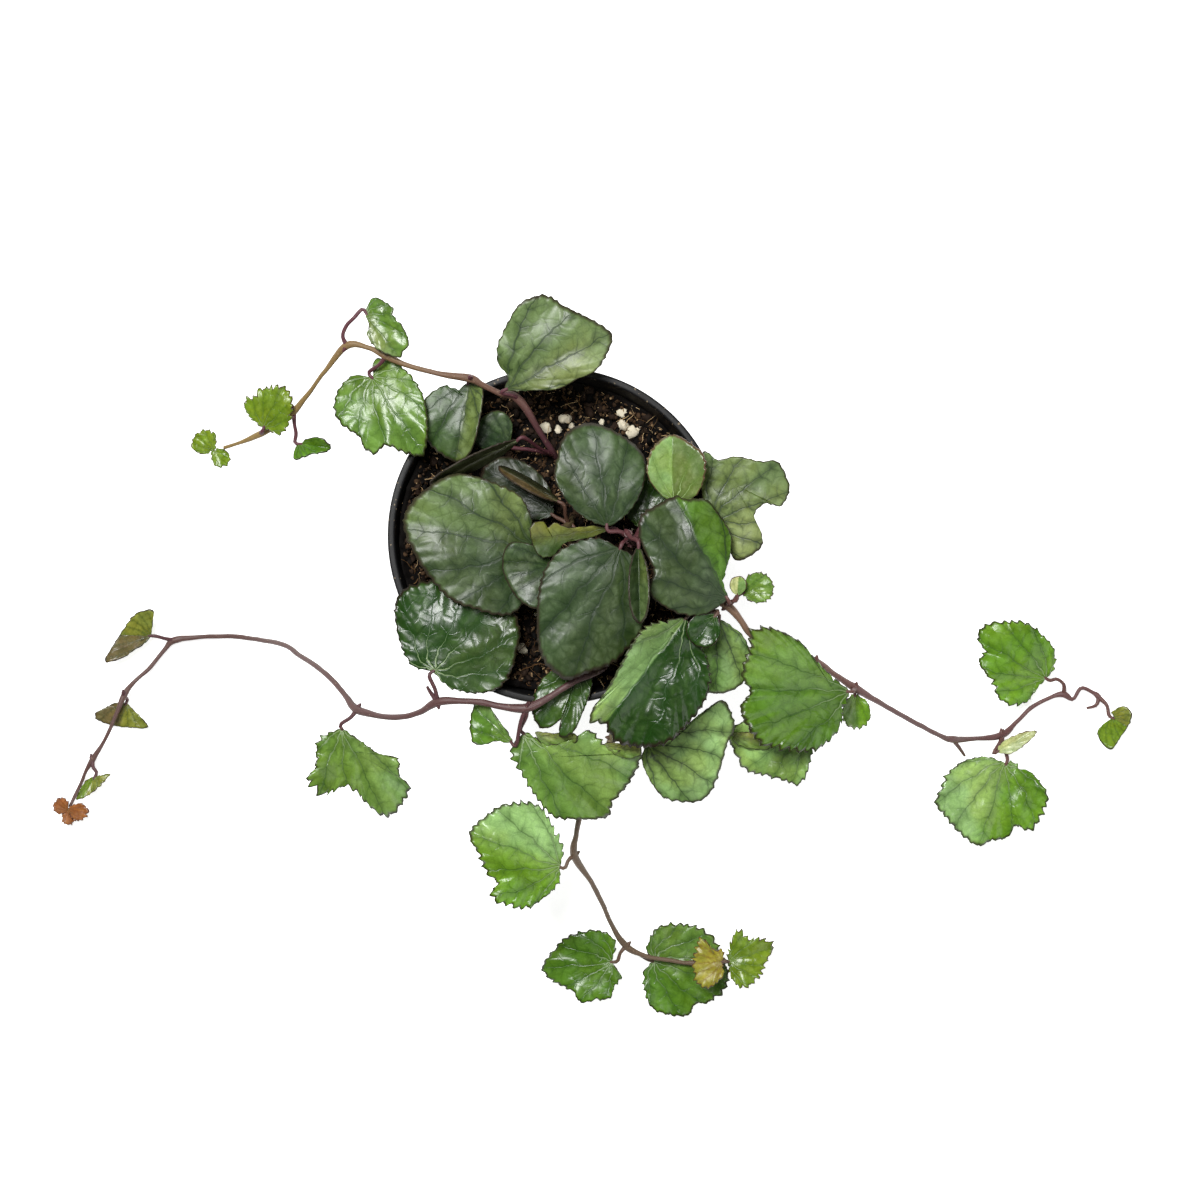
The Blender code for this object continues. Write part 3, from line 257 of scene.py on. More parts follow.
# %% Leaves of the lower left runner
add_leaves("west", "runner_west", [
    (3, (6.7, -40.6, 90.2), (0.9, -60.6, 90.6), (0, 0), "fresh", "moss", "moss", 0.0,
     ((2, -40), (-3, -42), (-6.5, -48), (-7, -54), (-4.5, -58), (-1, -57.5), (1.5, -55.5), (1, -60.5),
      (5, -59.5), (8, -53.5), (10.5, -46.5), (10.5, -42))),
    (6, (-9.7, -59.7, 88.5), (16.1, -83.9, 83.0), (-4, -6), "fresh", "sage", "fern", 0.05,
     ((-13.5, -65), (-11, -70.5), (-5.5, -79.5), (-1, -84.5), (3.5, -85.5), (15, -85), (17, -80.5),
      (22, -74.5), (25.5, -66.5), (20, -65.5), (14, -62.5), (10, -59), (5, -61.5), (-2.5, -63.5),
      (-6.5, -61))),
    (6, (-13.3, -62.4, 89.5), (-25.1, -51.5, 88.0), (12, 12), "fresh", "leaf", "sage", 0.05,
     ((-18, -62), (-21.5, -63), (-25, -62.5), (-26, -57), (-24.5, -51), (-21, -51), (-18, -55), (-15, -59))),
    (10, (-37.3, -41.2, 92.0), (-15.5, -19.4, 90.5), (-3, -2), "fresh", "deep", "slate", 0.04,
     ((-43, -39.5), (-46.5, -34), (-48.5, -25.5), (-48, -19), (-43.5, -15), (-35, -13.5), (-23, -15),
      (-14.5, -20.5), (-11, -28.5), (-12, -34.5), (-13.5, -40.5), (-17.5, -46), (-25, -47.5),
      (-32.5, -45.5))),
    (14, (-64.5, -58.5, 66.0), (-51.8, -84.2, 57.0), (5, 8), "fresh", "sage", "fern", 0.05,
     ((-68, -59.5), (-72, -62.5), (-72.5, -69.5), (-75, -73.5), (-72, -77), (-69.5, -78), (-64, -75.5),
      (-60.5, -77), (-57.5, -80.5), (-52, -84.5), (-48, -82.5), (-44.5, -76), (-47.5, -72.5), (-48, -67.5),
      (-53.5, -66), (-57.5, -63.5), (-61, -61))),
    (24, (-122.7, -30.3, 5.0), (-129.7, -30.0, 4.0), (30, 30), "fresh", "umber", "olive", 0.0,
     ((-122, -26), (-122, -22.5), (-127, -23.5), (-130, -27), (-133.5, -32.5), (-136.5, -38), (-131.5, -37),
      (-127.5, -34.5), (-124.5, -32.5))),
    (28, (-130.0, -50.6, 2.8), (-132.4, -57.9, 1.6), (3, 6), "fresh", "olive", "umber", 0.0,
     ((-133, -50.5), (-136.5, -52), (-139.5, -54), (-138, -56), (-133, -57.5), (-128, -58), (-123.5, -58),
      (-125, -55.5), (-128, -52.5))),
    (32, (-139.7, -73.0, 5.0), (-142.4, -78.2, 6.0), (20, 30), "young", "olive", "lime", 0.0,
     ((-142, -74), (-144, -77), (-145, -79.5), (-142.5, -79), (-139, -76.5), (-136.5, -74), (-135, -72),
      (-137.5, -72.5))),
])

# %% Leaves of the lower runner
add_leaves("south", "runner_south", [
    (5, (27.9, -62.7, 77.0), (48.5, -75.8, 74.0), (12, -4), "old", "mint", "sage", 0.06,
     ((26, -67), (27.5, -72), (30.5, -77), (33.5, -79.5), (40.5, -80.5), (44.5, -79.5), (47.5, -76),
      (50, -69), (52, -62), (54, -57.5), (51, -50), (47, -51.5), (42.5, -55), (37.5, -58.5), (32, -61))),
    (10, (1.2, -100.0, 47.0), (-25.5, -90.3, 51.0), (-3, 3), "fresh", "bright", "mint", 0.06,
     ((2, -94.5), (-0.5, -89.5), (-3, -84.5), (-7, -81), (-15.5, -81.5), (-20, -84), (-26, -90),
      (-23, -96.5), (-21, -101.5), (-17.5, -105), (-19.5, -107.5), (-18, -110.5), (-14, -111.5),
      (-9, -112.5), (-4, -109.5), (0.5, -105))),
    (14, (17.0, -128.8, 9.5), (-3.6, -130.6, 6.5), (4, 4), "fresh", "leaf", "leaf", 0.06,
     ((18, -124), (16.5, -121), (12.5, -119.5), (7.5, -120), (2.5, -122), (-1, -126), (-4, -130.5),
      (-1, -134.5), (5, -137.5), (7.5, -141), (12.5, -140), (16, -140), (17.5, -136.5), (19.5, -133))),
    (14, (29.1, -128.5, 4.4), (52.1, -136.0, 3.6), (0, 0), "fresh", "fern", "leaf", 0.0,
     ((27.5, -125.5), (28.5, -122), (31, -118.5), (37.5, -117.5), (44, -119), (48, -122.5), (50.5, -128),
      (52, -133), (50.5, -137.5), (46, -141), (42, -141.5), (39.5, -145), (31.5, -144), (28, -141),
      (26.5, -134.5), (27.5, -130.5))),
    (18, (50.2, -128.8, 11.6), (42.4, -129.4, 10.5), (8, 8), "bud", "amber", "amber", 0.06,
     ((50.5, -125.5), (48, -125.5), (44, -122), (42.5, -125.5), (42, -129.5), (42.5, -134.5), (46, -136.5),
      (49, -134.5), (50.5, -132.5))),
    (19, (52.1, -128.8, 7.0), (64.8, -124.8, 6.0), (10, 10), "young", "lime", "lime", 0.06,
     ((52.5, -125), (53.5, -121.5), (55.5, -119.5), (58, -122), (62, -122), (65.5, -124), (63.5, -128.5),
      (61, -133.5), (56.5, -136.5), (53.5, -134))),
])

# %% Leaves of the right runner
add_leaves("east", "runner_east", [
    (4, (51.8, -18.8, 99.0), (35.8, 11.5, 103.0), (4, -30), "old", "slate", "leaf", 0.05,
     ((50.5, -13.5), (52.5, -6), (52.5, 1), (48, 8), (45, 11), (39.5, 11), (36, 12), (30, 9), (26, 6.5),
      (25, 1), (27, -5), (29.5, -10.5), (28, -16.5), (31.5, -20.5), (37.5, -23.5), (43.5, -24), (48, -22))),
    (4, (56.6, -17.4, 94.5), (65.3, -14.2, 96.5), (10, 10), "young", "fern", "fern", 0.06, 8.5),
    (4, (54.8, -18.0, 95.4), (55.4, -12.2, 98.0), (20, 25), "pale", "cream", "sage", 0.06, 5.0),
    (9, (73.9, -57.3, 70.0), (58.2, -70.3, 66.0), (4, 8), "fresh", "sage", "mint", 0.05,
     ((66.5, -54), (59, -55), (52.5, -59.5), (54, -65), (57.5, -70.5), (64, -72.5), (69.5, -74),
      (73.5, -75), (76, -71), (77.5, -64), (77.5, -60))),
    (11, (88.5, -47.0, 76.0), (57.0, -46.7, 88.0), (-5, 15), "fresh", "leaf", "fern", 0.04,
     ((83.5, -43), (77.5, -36.5), (73.5, -32), (65, -28), (59, -29), (59, -33), (56.5, -42), (59, -47),
      (56, -52.5), (60.5, -61), (65, -63.5), (78, -64.5), (85.5, -58), (86.5, -52))),
    (11, (90.3, -48.0, 66.0), (91.2, -58.0, 63.0), (15, 15), "young", "bright", "sage", 0.06, 8.0),
    (17, (136.0, -68.8, 6.0), (127.9, -93.0, 4.5), (2, 4), "fresh", "bright", "mint", 0.05,
     ((137.5, -68), (140.5, -70.5), (144, -72), (148.5, -78), (147.5, -82.5), (146, -86), (143, -89),
      (139, -87.5), (136.5, -91), (131.5, -92), (127.5, -93.5), (122, -89.5), (118.5, -85.5), (115, -81),
      (116.5, -76.5), (119, -71.5), (124, -68), (130.5, -67))),
    (17, (133.6, -65.1, 7.5), (144.8, -59.1, 10.0), (14, 14), "pale", "cream", "cream", 0.06,
     ((135, -62.5), (138.5, -60.5), (142, -59.3), (145.5, -59.3), (142, -63), (137.5, -65.8))),
    (21, (148.2, -43.0, 5.5), (128.2, -31.5, 7.5), (5, 5), "fresh", "bright", "bright", 0.06,
     ((150.5, -40), (150.5, -34.5), (147.5, -30.5), (142.5, -26.5), (138.5, -26), (131.5, -26.5),
      (128, -29), (128, -32), (130, -35), (128, -38), (130, -41.5), (132.5, -44.5), (134, -49), (138, -51),
      (142.5, -50), (145.5, -46)),
     (153.6, -45.0, 3.6), (151.6, -43.4, 4.8)),
    (25, (168.5, -55.1, 5.0), (173.0, -57.9, 8.0), (20, 25), "fresh", "olive", "lime", 0.0,
     ((168, -53.5), (170, -52), (172, -51.5), (174, -53.5), (173.5, -56.5), (171, -60.5), (168, -64.5),
      (165, -62.5), (163.8, -59.5), (165.5, -57)),
     (166.6, -51.2, 3.2)),
])

# %% Leaves of the left short stem
add_leaves("inner", "stem_west", [
    (3, (-7.3, -3.6, 92.0), (-45.8, 2.4, 95.5), (3, 2), "old", "slate", "grey", 0.05,
     ((-7.5, 5), (-11, 12), (-17.5, 15.5), (-24.5, 18), (-31.5, 18.5), (-39.5, 14), (-45, 8), (-46, 2.5),
      (-43.5, -4), (-39, -11.5), (-32, -19), (-24.5, -22), (-15.5, -24), (-10, -20.5), (-6.5, -12))),
    (3, (-1.2, -9.1, 96.5), (-14.5, -12.7, 98.0), (6, 6), "old", "slate", "slate", 0.05,
     ((-3.5, -5), (-8, -2.5), (-13.5, -2), (-16, -5.5), (-16, -10.5), (-14.5, -14.5), (-11.5, -19),
      (-6.5, -22), (-3, -19.5), (-1.5, -14.5))),
    (2, (-1.0, 6.4, 83.5), (-21.5, 21.0, 82.3), (0, 0), "old", "shade", "shade", 0.0, 15.0),
    (2, (1.0, 10.2, 91.0), (-17.5, 20.8, 92.0), (74, -74), "olive", "umber", "shade", 0.06, 11.5),
])

# %% Leaves of the central stem
add_leaves("centre", "stem_centre", [
    (3, (15.5, 3.0, 100.0), (10.9, 33.9, 98.0), (2, -8), "old", "slate", "slate", 0.06,
     ((9.5, 5), (4.5, 9), (1, 14), (-0.5, 18.5), (0.5, 24.5), (2, 29.5), (6, 33), (11, 34), (17, 32),
      (22.5, 28.5), (26.5, 24), (27, 18.5), (25.5, 13), (23, 8.5), (19.5, 5))),
    (2, (25.2, 2.6, 88.2), (31.0, 18.0, 87.0), (0, 0), "fresh", "moss", "moss", 0.03, 19.0),
    # This leaf's strong pale midrib is a painted highlight along its fold, and its darker grey right half is
    # painted shade.
    (2, (35.1, 10.3, 94.0), (35.1, 30.3, 98.0), (42, 30), "pale", "mint", "grey", 0.06,
     ((29.5, 15), (27.5, 20), (29, 26), (32.5, 29.5), (36, 30.5), (40.5, 28), (44.5, 24.5), (45, 18.5),
      (42, 12))),
    (3, (19.4, -3.9, 103.0), (4.8, -43.0, 99.0), (-9, 1), "old", "slate", "slate", 0.05,
     ((14, -1), (9, -1), (3.5, -3), (-1, -6.5), (-4, -12), (-5.5, -19.5), (-5.5, -31.5), (-3.5, -38),
      (0, -41.5), (3.5, -43.5), (9, -41.5), (17, -38.5), (22, -33.5), (26, -28), (27.5, -21), (26.5, -12),
      (23, -6))),
    (4, (24.8, -3.2, 106.0), (25.3, -26.5, 107.0), (62, 62), "old", "grey", "slate", 0.03, 12.0),
    (3, (16.1, 2.1, 95.6), (-7.0, -0.6, 101.0), (-8, 10), "olive", "moss", "olive", 0.0,
     ((11.5, 3), (5, 2.5), (2, 3), (-0.5, 4), (-2.5, 2.5), (-4.5, 4.5), (-7.5, 3), (-7.5, -1), (-5, -6),
      (-1, -6), (3, -2), (10.5, -0.5))),
    (2, (47.0, 4.5, 92.8), (70.0, 13.3, 94.0), (4, -4), "old", "grey", "pearl", 0.04,
     ((44.5, 11), (43.5, 18.5), (44.5, 25.5), (49, 23), (54.5, 24), (62, 22.5), (67, 22.5), (70, 17),
      (70.5, 13.5), (68, 9), (64, 10), (60, 6.5), (62.5, -1), (61, -4.5), (55, -7.5), (52, -4), (49, 0))),
])

# %% Leaves of the right short stem
add_leaves("inner", "stem_southeast", [
    (3, (39.1, -25.1, 95.5), (14.8, -56.4, 95.5), (-5, 58), "fresh", "deep", "mint", 0.04,
     ((33.5, -26), (27.5, -27.5), (23, -33), (19.5, -39.5), (15.5, -46.5), (11.5, -52), (10.5, -56),
      (14.5, -56.5), (17.5, -61.5), (23, -63.5), (30, -63.5), (35, -61.5), (40.5, -56), (45, -49.5),
      (46.5, -43), (45, -36), (42.5, -31.5))),
    (4, (49.1, -25.3, 89.4), (48.5, -47.6, 86.5), (-8, 0), "old", "sage", "leaf", 0.06, 19.0),
    (4, (48.2, -24.0, 96.6), (41.5, -32.6, 98.0), (20, 20), "fresh", "deep", "deep", 0.06, 10.0),
], 5)

# %% [markdown]
# ### Tips and folded edges
# At the ends of two runners the youngest leaves crowd round the bud, too close to be told apart as
# nodes, so each end is listed as one: its name, base, age and colour, then the tip and width of each
# leaf in it. Where the edge of a leaf has folded over, its underside shows as a small olive strip,
# listed by name, the leaf it belongs to, base, tip and corners. One sheet can't fold back over itself
# here, so a strip of its own is laid where the fold shows.

# %% Tips and folds
TIPS = [
    ("leaf_northwest_tip", (-103.6, 25.8, 66.6), "young", "lime",
     [((-108.8, 30.6, 67.5), 7.0), ((-99.6, 21.6, 66.5), 5.0)]),
    ("leaf_west_tip", (-147.6, -83.0, 4.0), "bud", "rust",
     [((-151.4, -80.6, 6.5), 4.5), ((-141.8, -83.8, 6.5), 4.5), ((-147.2, -87.2, 4.0), 4.0)]),
]
FOLDS = [
    ("fold_west_2_near", "leaf_west_2", (-5.9, -60.4, 88.0), (6.2, -61.2, 87.4),
     ((-5.7, -59.4), (0.0, -59.8), (5.8, -60.0), (6.0, -62.4), (2.0, -63.5), (-2.6, -65.2))),
    ("fold_west_2_far", "leaf_west_2", (15.0, -63.6, 86.0), (26.0, -65.0, 84.4),
     ((15.2, -62.6), (20.0, -62.9), (24.8, -62.8), (25.8, -65.8), (22.5, -67.2), (18.0, -66.2))),
    ("fold_east_4", "leaf_east_4", (53.4, -60.6, 70.6), (64.6, -62.6, 69.4),
     ((53.6, -59.6), (57.0, -59.5), (60.6, -59.4), (64.8, -62.6), (64.0, -64.6), (58.0, -64.2),
      (54.0, -62.6))),
]
print(len(LEAVES), "leaves in all,", len(TIPS), "tips and", len(FOLDS), "folded edges")

# %% [markdown]
# ## Node trees written as sums
# Geometry Nodes and materials are both node trees. Written node by node they are long and hard to
# read, so a small class stands for one output of a node: adding two of them adds an Add node. A
# formula for a vein can then be written once and used in both kinds of tree.

# %% Wires
class Wire:
    """One output of a node tree. Arithmetic on wires adds the nodes that work it out."""

    def __init__(self, tree, socket):
        self.tree = tree
        self.socket = socket

    def __add__(self, other):
        return calc("ADD", self, other)

    def __radd__(self, other):
        return calc("ADD", other, self)

    def __sub__(self, other):
        return calc("SUBTRACT", self, other)

    def __rsub__(self, other):
        return calc("SUBTRACT", other, self)

    def __mul__(self, other):
        return calc("MULTIPLY", self, other)

    def __rmul__(self, other):
        return calc("MULTIPLY", other, self)

    def __truediv__(self, other):
        return calc("DIVIDE", self, other)

    def __pow__(self, other):
        return calc("POWER", self, other)


print("a wire adds, subtracts, multiplies, divides and raises to a power")

# %% Nodes
def tree_of(values):
    """The node tree that the first wire among the values belongs to."""
    return next(value.tree for value in values if isinstance(value, Wire))


def fill(socket, value):
    """Links a wire to a node's input, or sets the input's own value."""
    if isinstance(value, Wire):
        value.tree.links.new(value.socket, socket)
    else:
        socket.default_value = value


def add(tree, kind, inputs=(), output=0, **settings):
    """Adds a node, sets it up, fills its inputs by name or number, and returns one output."""
    made = tree.nodes.new(kind)
    for name, value in settings.items():
        setattr(made, name, value)
    for name, value in inputs.items() if isinstance(inputs, dict) else enumerate(inputs):
        fill(made.inputs[name], value)
    return Wire(tree, made.outputs[output])


print("a node is added, filled by name or number, and read by one output")

# %% Sums on numbers and vectors
def calc(kind, *values):
    """A Math node."""
    return add(tree_of(values), "ShaderNodeMath", values, operation=kind)


def turn_vector(kind, *values, output=0):
    """A Vector Math node."""
    return add(tree_of(values), "ShaderNodeVectorMath", values, output, operation=kind)


def scaled(vector, factor):
    """A vector times a number."""
    return add(vector.tree, "ShaderNodeVectorMath", {"Vector": vector, "Scale": factor}, operation="SCALE")


def join_xyz(x, y, z):
    """A vector from three numbers."""
    return add(tree_of((x, y, z)), "ShaderNodeCombineXYZ", (x, y, z))


def split_xyz(vector):
    """The three numbers of a vector."""
    parts = add(vector.tree, "ShaderNodeSeparateXYZ", [vector]).socket.node
    return [Wire(vector.tree, socket) for socket in parts.outputs]


def rise(value, low, high, start=0.0, end=1.0):
    """Goes smoothly from start to end while the value goes from low to high."""
    inputs = {"Value": value, "From Min": low, "From Max": high, "To Min": start, "To Max": end}
    return add(value.tree, "ShaderNodeMapRange", inputs, interpolation_type="SMOOTHSTEP")


def noise(vector, scale, detail=2.0, roughness=0.5):
    """Soft noise from 0 to 1 with a middle of 0.5."""
    inputs = {"Vector": vector, "Scale": scale, "Detail": detail, "Roughness": roughness}
    return add(vector.tree, "ShaderNodeTexNoise", inputs)


def sway(vector, scale, amount, detail=1.0):
    """A small push in any direction, which changes softly from place to place."""
    inputs = {"Vector": vector, "Scale": scale, "Detail": detail}
    push = add(vector.tree, "ShaderNodeTexNoise", inputs, 1)
    return scaled(turn_vector("SUBTRACT", push, (0.5, 0.5, 0.5)), amount)


print("sums, soft steps and soft noise can be written as formulas")

# %% [markdown]
# ### Trees that make geometry
# Every piece that grows is made by a tree with named inputs, as a mould is set to a size before it is
# filled. All of these trees start from the same few moves: a flat sheet or a line, a new place for each
# point, values noted on the points for later, and at the end real geometry with its material.

# %% Geometry trees
SAME_PLACE = 1e-6


def new_tree(name, sockets, family="Geometry"):
    """An empty node tree of a family, with named inputs, and the wires of those inputs."""
    tree = bpy.data.node_groups.new(name, family + "NodeTree")
    if family == "Geometry":
        tree.interface.new_socket("Geometry", in_out="INPUT", socket_type="NodeSocketGeometry")
    tree.interface.new_socket(family, in_out="OUTPUT", socket_type="NodeSocket" + family)
    for socket, kind in sockets.items():
        tree.interface.new_socket(socket, in_out="INPUT", socket_type="NodeSocket" + kind)
    start = tree.nodes.new("NodeGroupInput")
    return tree, {socket.name: Wire(tree, socket) for socket in start.outputs if socket.name}


def grid_sheet(tree, columns, rows):
    """A flat square sheet of points, and how far across and up it each point stands from its middle."""
    size = {"Size X": 1.0, "Size Y": 1.0, "Vertices X": columns, "Vertices Y": rows}
    sheet = add(tree, "GeometryNodeMeshGrid", size)
    return sheet, *split_xyz(add(tree, "GeometryNodeInputPosition"))[:2]


def moved(shape, place):
    """The shape with each point at its new place, and points that now stand together joined."""
    shape = add(shape.tree, "GeometryNodeSetPosition", {"Geometry": shape, "Position": place})
    return add(shape.tree, "GeometryNodeMergeByDistance", {"Geometry": shape, "Distance": SAME_PLACE})


def store(shape, name, value, kind="FLOAT"):
    """Keeps a value on the points of a shape under a name."""
    inputs = {"Geometry": shape, "Name": name, "Value": value}
    return add(shape.tree, "GeometryNodeStoreNamedAttribute", inputs, data_type=kind)


def stored(tree, name):
    """Reads a number that was kept under a name."""
    return add(tree, "GeometryNodeInputNamedAttribute", {"Name": name}, data_type="FLOAT")


def end_tree(shape, material):
    """Ends a Geometry Nodes tree: real geometry, smooth shading and its material."""
    shape = add(shape.tree, "GeometryNodeRealizeInstances", [shape])
    shape = add(shape.tree, "GeometryNodeSetShadeSmooth", [shape])
    shape = add(shape.tree, "GeometryNodeSetMaterial", {"Geometry": shape, "Material": material})
    final = shape.tree.nodes.new("NodeGroupOutput")
    shape.tree.links.new(shape.socket, final.inputs[0])


print("a geometry tree starts with named inputs and ends with its material")

# %% Growing a piece
def set_down(name, data):
    """An object in the scene made of the given mesh, curve, lamp or lens."""
    made = bpy.data.objects.new(name, data)
    bpy.context.scene.collection.objects.link(made)
    return made


def grown(name, tree, data, values):
    """A plain mesh object made by running a Geometry Nodes tree on curve or mesh data."""
    host = set_down(name + "_host", data)
    step = host.modifiers.new("grow", "NODES")
    step.node_group = tree
    for item in tree.interface.items_tree:
        if item.in_out == "INPUT" and item.name in values:
            step[item.identifier] = values[item.name]
    bpy.context.view_layer.update()
    mesh = bpy.data.meshes.new_from_object(host.evaluated_get(bpy.context.evaluated_depsgraph_get()))
    bpy.data.objects.remove(host)
    mesh.name = name
    return set_down(name, mesh)


def poly_curve(name, lines, unit=MM, closed=False):
    """Curve data from lists of (place, radius), each given in the unit."""
    curve = bpy.data.curves.new(name, "CURVE")
    curve.dimensions = "3D"
    for line in lines:
        spline = curve.splines.new("POLY")
        spline.points.add(len(line) - 1)
        spline.use_cyclic_u = closed
        for point, (place, radius) in zip(spline.points, line):
            point.co = (*(Vector(place) * unit), 1.0)
            point.radius = radius * unit
    return curve


def keep(piece, slot, *nodes):
    """Hands a finished piece to the frame: it rides the fixed body and stands for its CAD nodes."""
    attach(piece, "root")
    if nodes:
        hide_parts(*nodes)


print("each piece is grown by its tree and handed to the frame")

# %% [markdown]
# ## Leaf blades
# A leaf's edge is a smooth closed line with small teeth, and its blade is a sheet that folds along the
# midrib, arches from base to tip and ripples near the edge. One tree makes them all: it lays a grid
# around the edge and in toward a hub, moves each point to its height by a few sums, then gives the
# sheet its thickness. A hand-made mesh would have to be modelled 46 times.

# %% Blade sheet
blade_tree, given = new_tree("leaf_blade", {
    "Base": "Vector", "Tip": "Vector", "Hub": "Vector", "Left Slope": "Float", "Right Slope": "Float",
    "Arch": "Float", "Wave": "Float", "Phase": "Float", "Turned": "Float", "Teeth": "Float",
    "Tooth Count": "Float", "Sharpness": "Float", "Crumple": "Float", "Edge Points": "Int",
    "Rings": "Int", "Thickness": "Float",
    "Eye": "Vector", "Rim Height": "Float", "Material": "Material",
})
sheet, grid_x, grid_y = grid_sheet(blade_tree, given["Edge Points"], given["Rings"])
sheet = store(sheet, "around", 0.5 - grid_x)
sheet = store(sheet, "out", grid_y + 0.5)
around = stored(blade_tree, "around")
out = stored(blade_tree, "out")
print("blade sheet: a grid that knows how far round the edge and how far out each point is")

# %% [markdown]
# ### The toothed edge
# The edge of this leaf has small forward-leaning teeth with dark tips, of uneven height, and stretches
# where they almost vanish. The smooth line through the listed corners is pushed outwards by a
# saw-shaped wave, whose length and height vary by soft noise. Teeth cut by hand along 46 edges would
# be the other way.

# %% Toothed edge
# The drift, the lean and the pace are counted in teeth, the other sizes in the height of one tooth.
TOOTH_DRIFT = 2.4
TOOTH_LEAN = 0.6
TOOTH_FLANK = 1.7
TOOTH_MIDDLE = 0.45
SMALL_TOOTH = 0.25
SMALL_TOOTH_PACE = 2.3
line = add(blade_tree, "GeometryNodeCurveSplineType", [given["Geometry"]], spline_type="CATMULL_ROM")
edge = add(blade_tree, "GeometryNodeSampleCurve", {"Curves": line, "Factor": around}, 1, mode="FACTOR")
from_hub = turn_vector("SUBTRACT", edge, given["Hub"])
spacing = noise(join_xyz(around, given["Phase"], 0.0), 9.0) * TOOTH_DRIFT
tooth_place = around * given["Tooth Count"] + spacing
from_peak = calc("ABSOLUTE", calc("FRACT", tooth_place) - TOOTH_LEAN)
tooth = (1.0 - from_peak * TOOTH_FLANK) ** given["Sharpness"] - TOOTH_MIDDLE
small_tooth = calc("ABSOLUTE", calc("SINE", tooth_place * math.pi * SMALL_TOOTH_PACE)) * SMALL_TOOTH
this_tooth = noise(join_xyz(calc("FLOOR", tooth_place), given["Phase"], 0.5), 0.7)
unevenness = rise(this_tooth, 0.25, 0.75, 0.3, 1.7)
stretch = noise(join_xyz(around, given["Phase"], 7.0), 5.0)
unevenness = unevenness * rise(stretch, 0.35, 0.6, 0.25, 1.1)
near_base = rise(around, 0.0, 0.05) * rise(around, 0.95, 1.0, 1.0, 0.0)
tooth_height = (tooth * unevenness + small_tooth) * near_base * given["Teeth"]
edge_ray = turn_vector("NORMALIZE", from_hub)
from_hub = turn_vector("ADD", from_hub, scaled(edge_ray, tooth_height))
plan = turn_vector("ADD", given["Hub"], scaled(from_hub, out))
u, v = split_xyz(plan)[:2]
print("toothed edge:", len(blade_tree.nodes), "nodes so far")

# %% [markdown]
# ### Folds, arch and ripples
# A living blade folds along its midrib, arches from stalk to tip, ripples along its edge and swells
# between its veins. Each of these is one term of the sum for the height, over the place of the point
# along the midrib (u) and across it (v). The point is then moved along the line of sight, so that it
# still covers its place in the photograph. Sculpting would give no way to change one of them later.

# %% Blade height
CREASE = 0.03
WAVES = 5.0
QUILT_SCALE = 3.6
FRILL = 0.35
FRILL_AT_EDGE = 6.0
run = turn_vector("MULTIPLY", turn_vector("SUBTRACT", given["Tip"], given["Base"]), (1.0, 1.0, 0.0))
length = turn_vector("LENGTH", run, output=1)
run_x, run_y = split_xyz(run)[:2]
base_x, base_y, base_z = split_xyz(given["Base"])
tip_z = split_xyz(given["Tip"])[2]
spot_x = base_x + run_x * u - run_y * v
spot_y = base_y + run_y * u + run_x * v
slope = given["Right Slope"] + (given["Left Slope"] - given["Right Slope"]) * calc("GREATER_THAN", v, 0.0)
fold = calc("SQRT", v * v + CREASE ** 2) - CREASE
turn = (around + given["Turned"] * (1.0 - around * 2.0)) * math.tau
ripple = calc("SINE", turn * WAVES + given["Phase"]) * (0.5 - calc("COSINE", turn) * 0.5) * out * out
quilt = noise(join_xyz(u, v, given["Phase"]), QUILT_SCALE, 0.5) - 0.5
frill = calc("SINE", tooth_place * math.pi) * out ** FRILL_AT_EDGE * given["Teeth"] * FRILL
rise_mid = (u - u * u) * 4.0 * given["Arch"]
shape = fold * slope + rise_mid + ripple * given["Wave"] + quilt * given["Crumple"] + frill
height = base_z + (tip_z - base_z) * u + shape * length
eye_x, eye_y, eye_z = split_xyz(given["Eye"])
spread = (eye_z - height) / (eye_z - given["Rim Height"])
place = join_xyz(eye_x + (spot_x - eye_x) * spread, eye_y + (spot_y - eye_y) * spread, height)
sheet = moved(store(sheet, "blade", join_xyz(u, v, 0.0), "FLOAT_VECTOR"), place)
print("blade height:", len(blade_tree.nodes), "nodes so far")

# %% [markdown]
# ### The thickness of a blade
# A real blade is a sheet a few tenths of a millimetre thick with a darker face and a paler underside.
# The sheet is moved down and turned over to make the underside, and the same sheet is raised with a
# rim round it to make the face. A Solidify modifier would do it too, but wouldn't mark the two sides.

# %% Blade thickness
SAME_RIM = 1e-7
normal = add(blade_tree, "GeometryNodeInputNormal")
under = scaled(normal, given["Thickness"] * -0.5)
lower = add(blade_tree, "GeometryNodeSetPosition", {"Geometry": sheet, "Offset": under})
pushed = {"Mesh": lower, "Offset": normal, "Offset Scale": given["Thickness"], "Individual": False}
upper = store(add(blade_tree, "GeometryNodeExtrudeMesh", pushed), "under", 0.0)
lower = store(add(blade_tree, "GeometryNodeFlipFaces", [lower]), "under", 1.0)
both = blade_tree.nodes.new("GeometryNodeJoinGeometry")
for part in (lower, upper):
    blade_tree.links.new(part.socket, both.inputs[0])
closed = {"Geometry": Wire(blade_tree, both.outputs[0]), "Distance": SAME_RIM}
end_tree(add(blade_tree, "GeometryNodeMergeByDistance", closed), given["Material"])
print("blade tree:", len(blade_tree.nodes), "nodes")

# %% [markdown]
# ## Leaf colours
# The old leaves over the pot are grey-green with dark veins and a pale bloom between them. Leaves on
# the runners are a clear green with paler veins, and the youngest are yellow-green. The edge has a
# thin dark line where the teeth end. A small palette keeps the colours few: each leaf names two. The
# near-black shade green is painted shade for leaves that lie under others, and the dark moss green is
# a leaf green darkened further by painted shade.

# %% Palette
def colour(code):
    """The shader's colour for a red, green, blue code as seen on a screen."""
    parts = [int(code[i:i + 2], 16) / 255 for i in (0, 2, 4)]
    return [part / 12.92 if part <= 0.04045 else ((part + 0.055) / 1.055) ** 2.4 for part in parts] + [1.0]
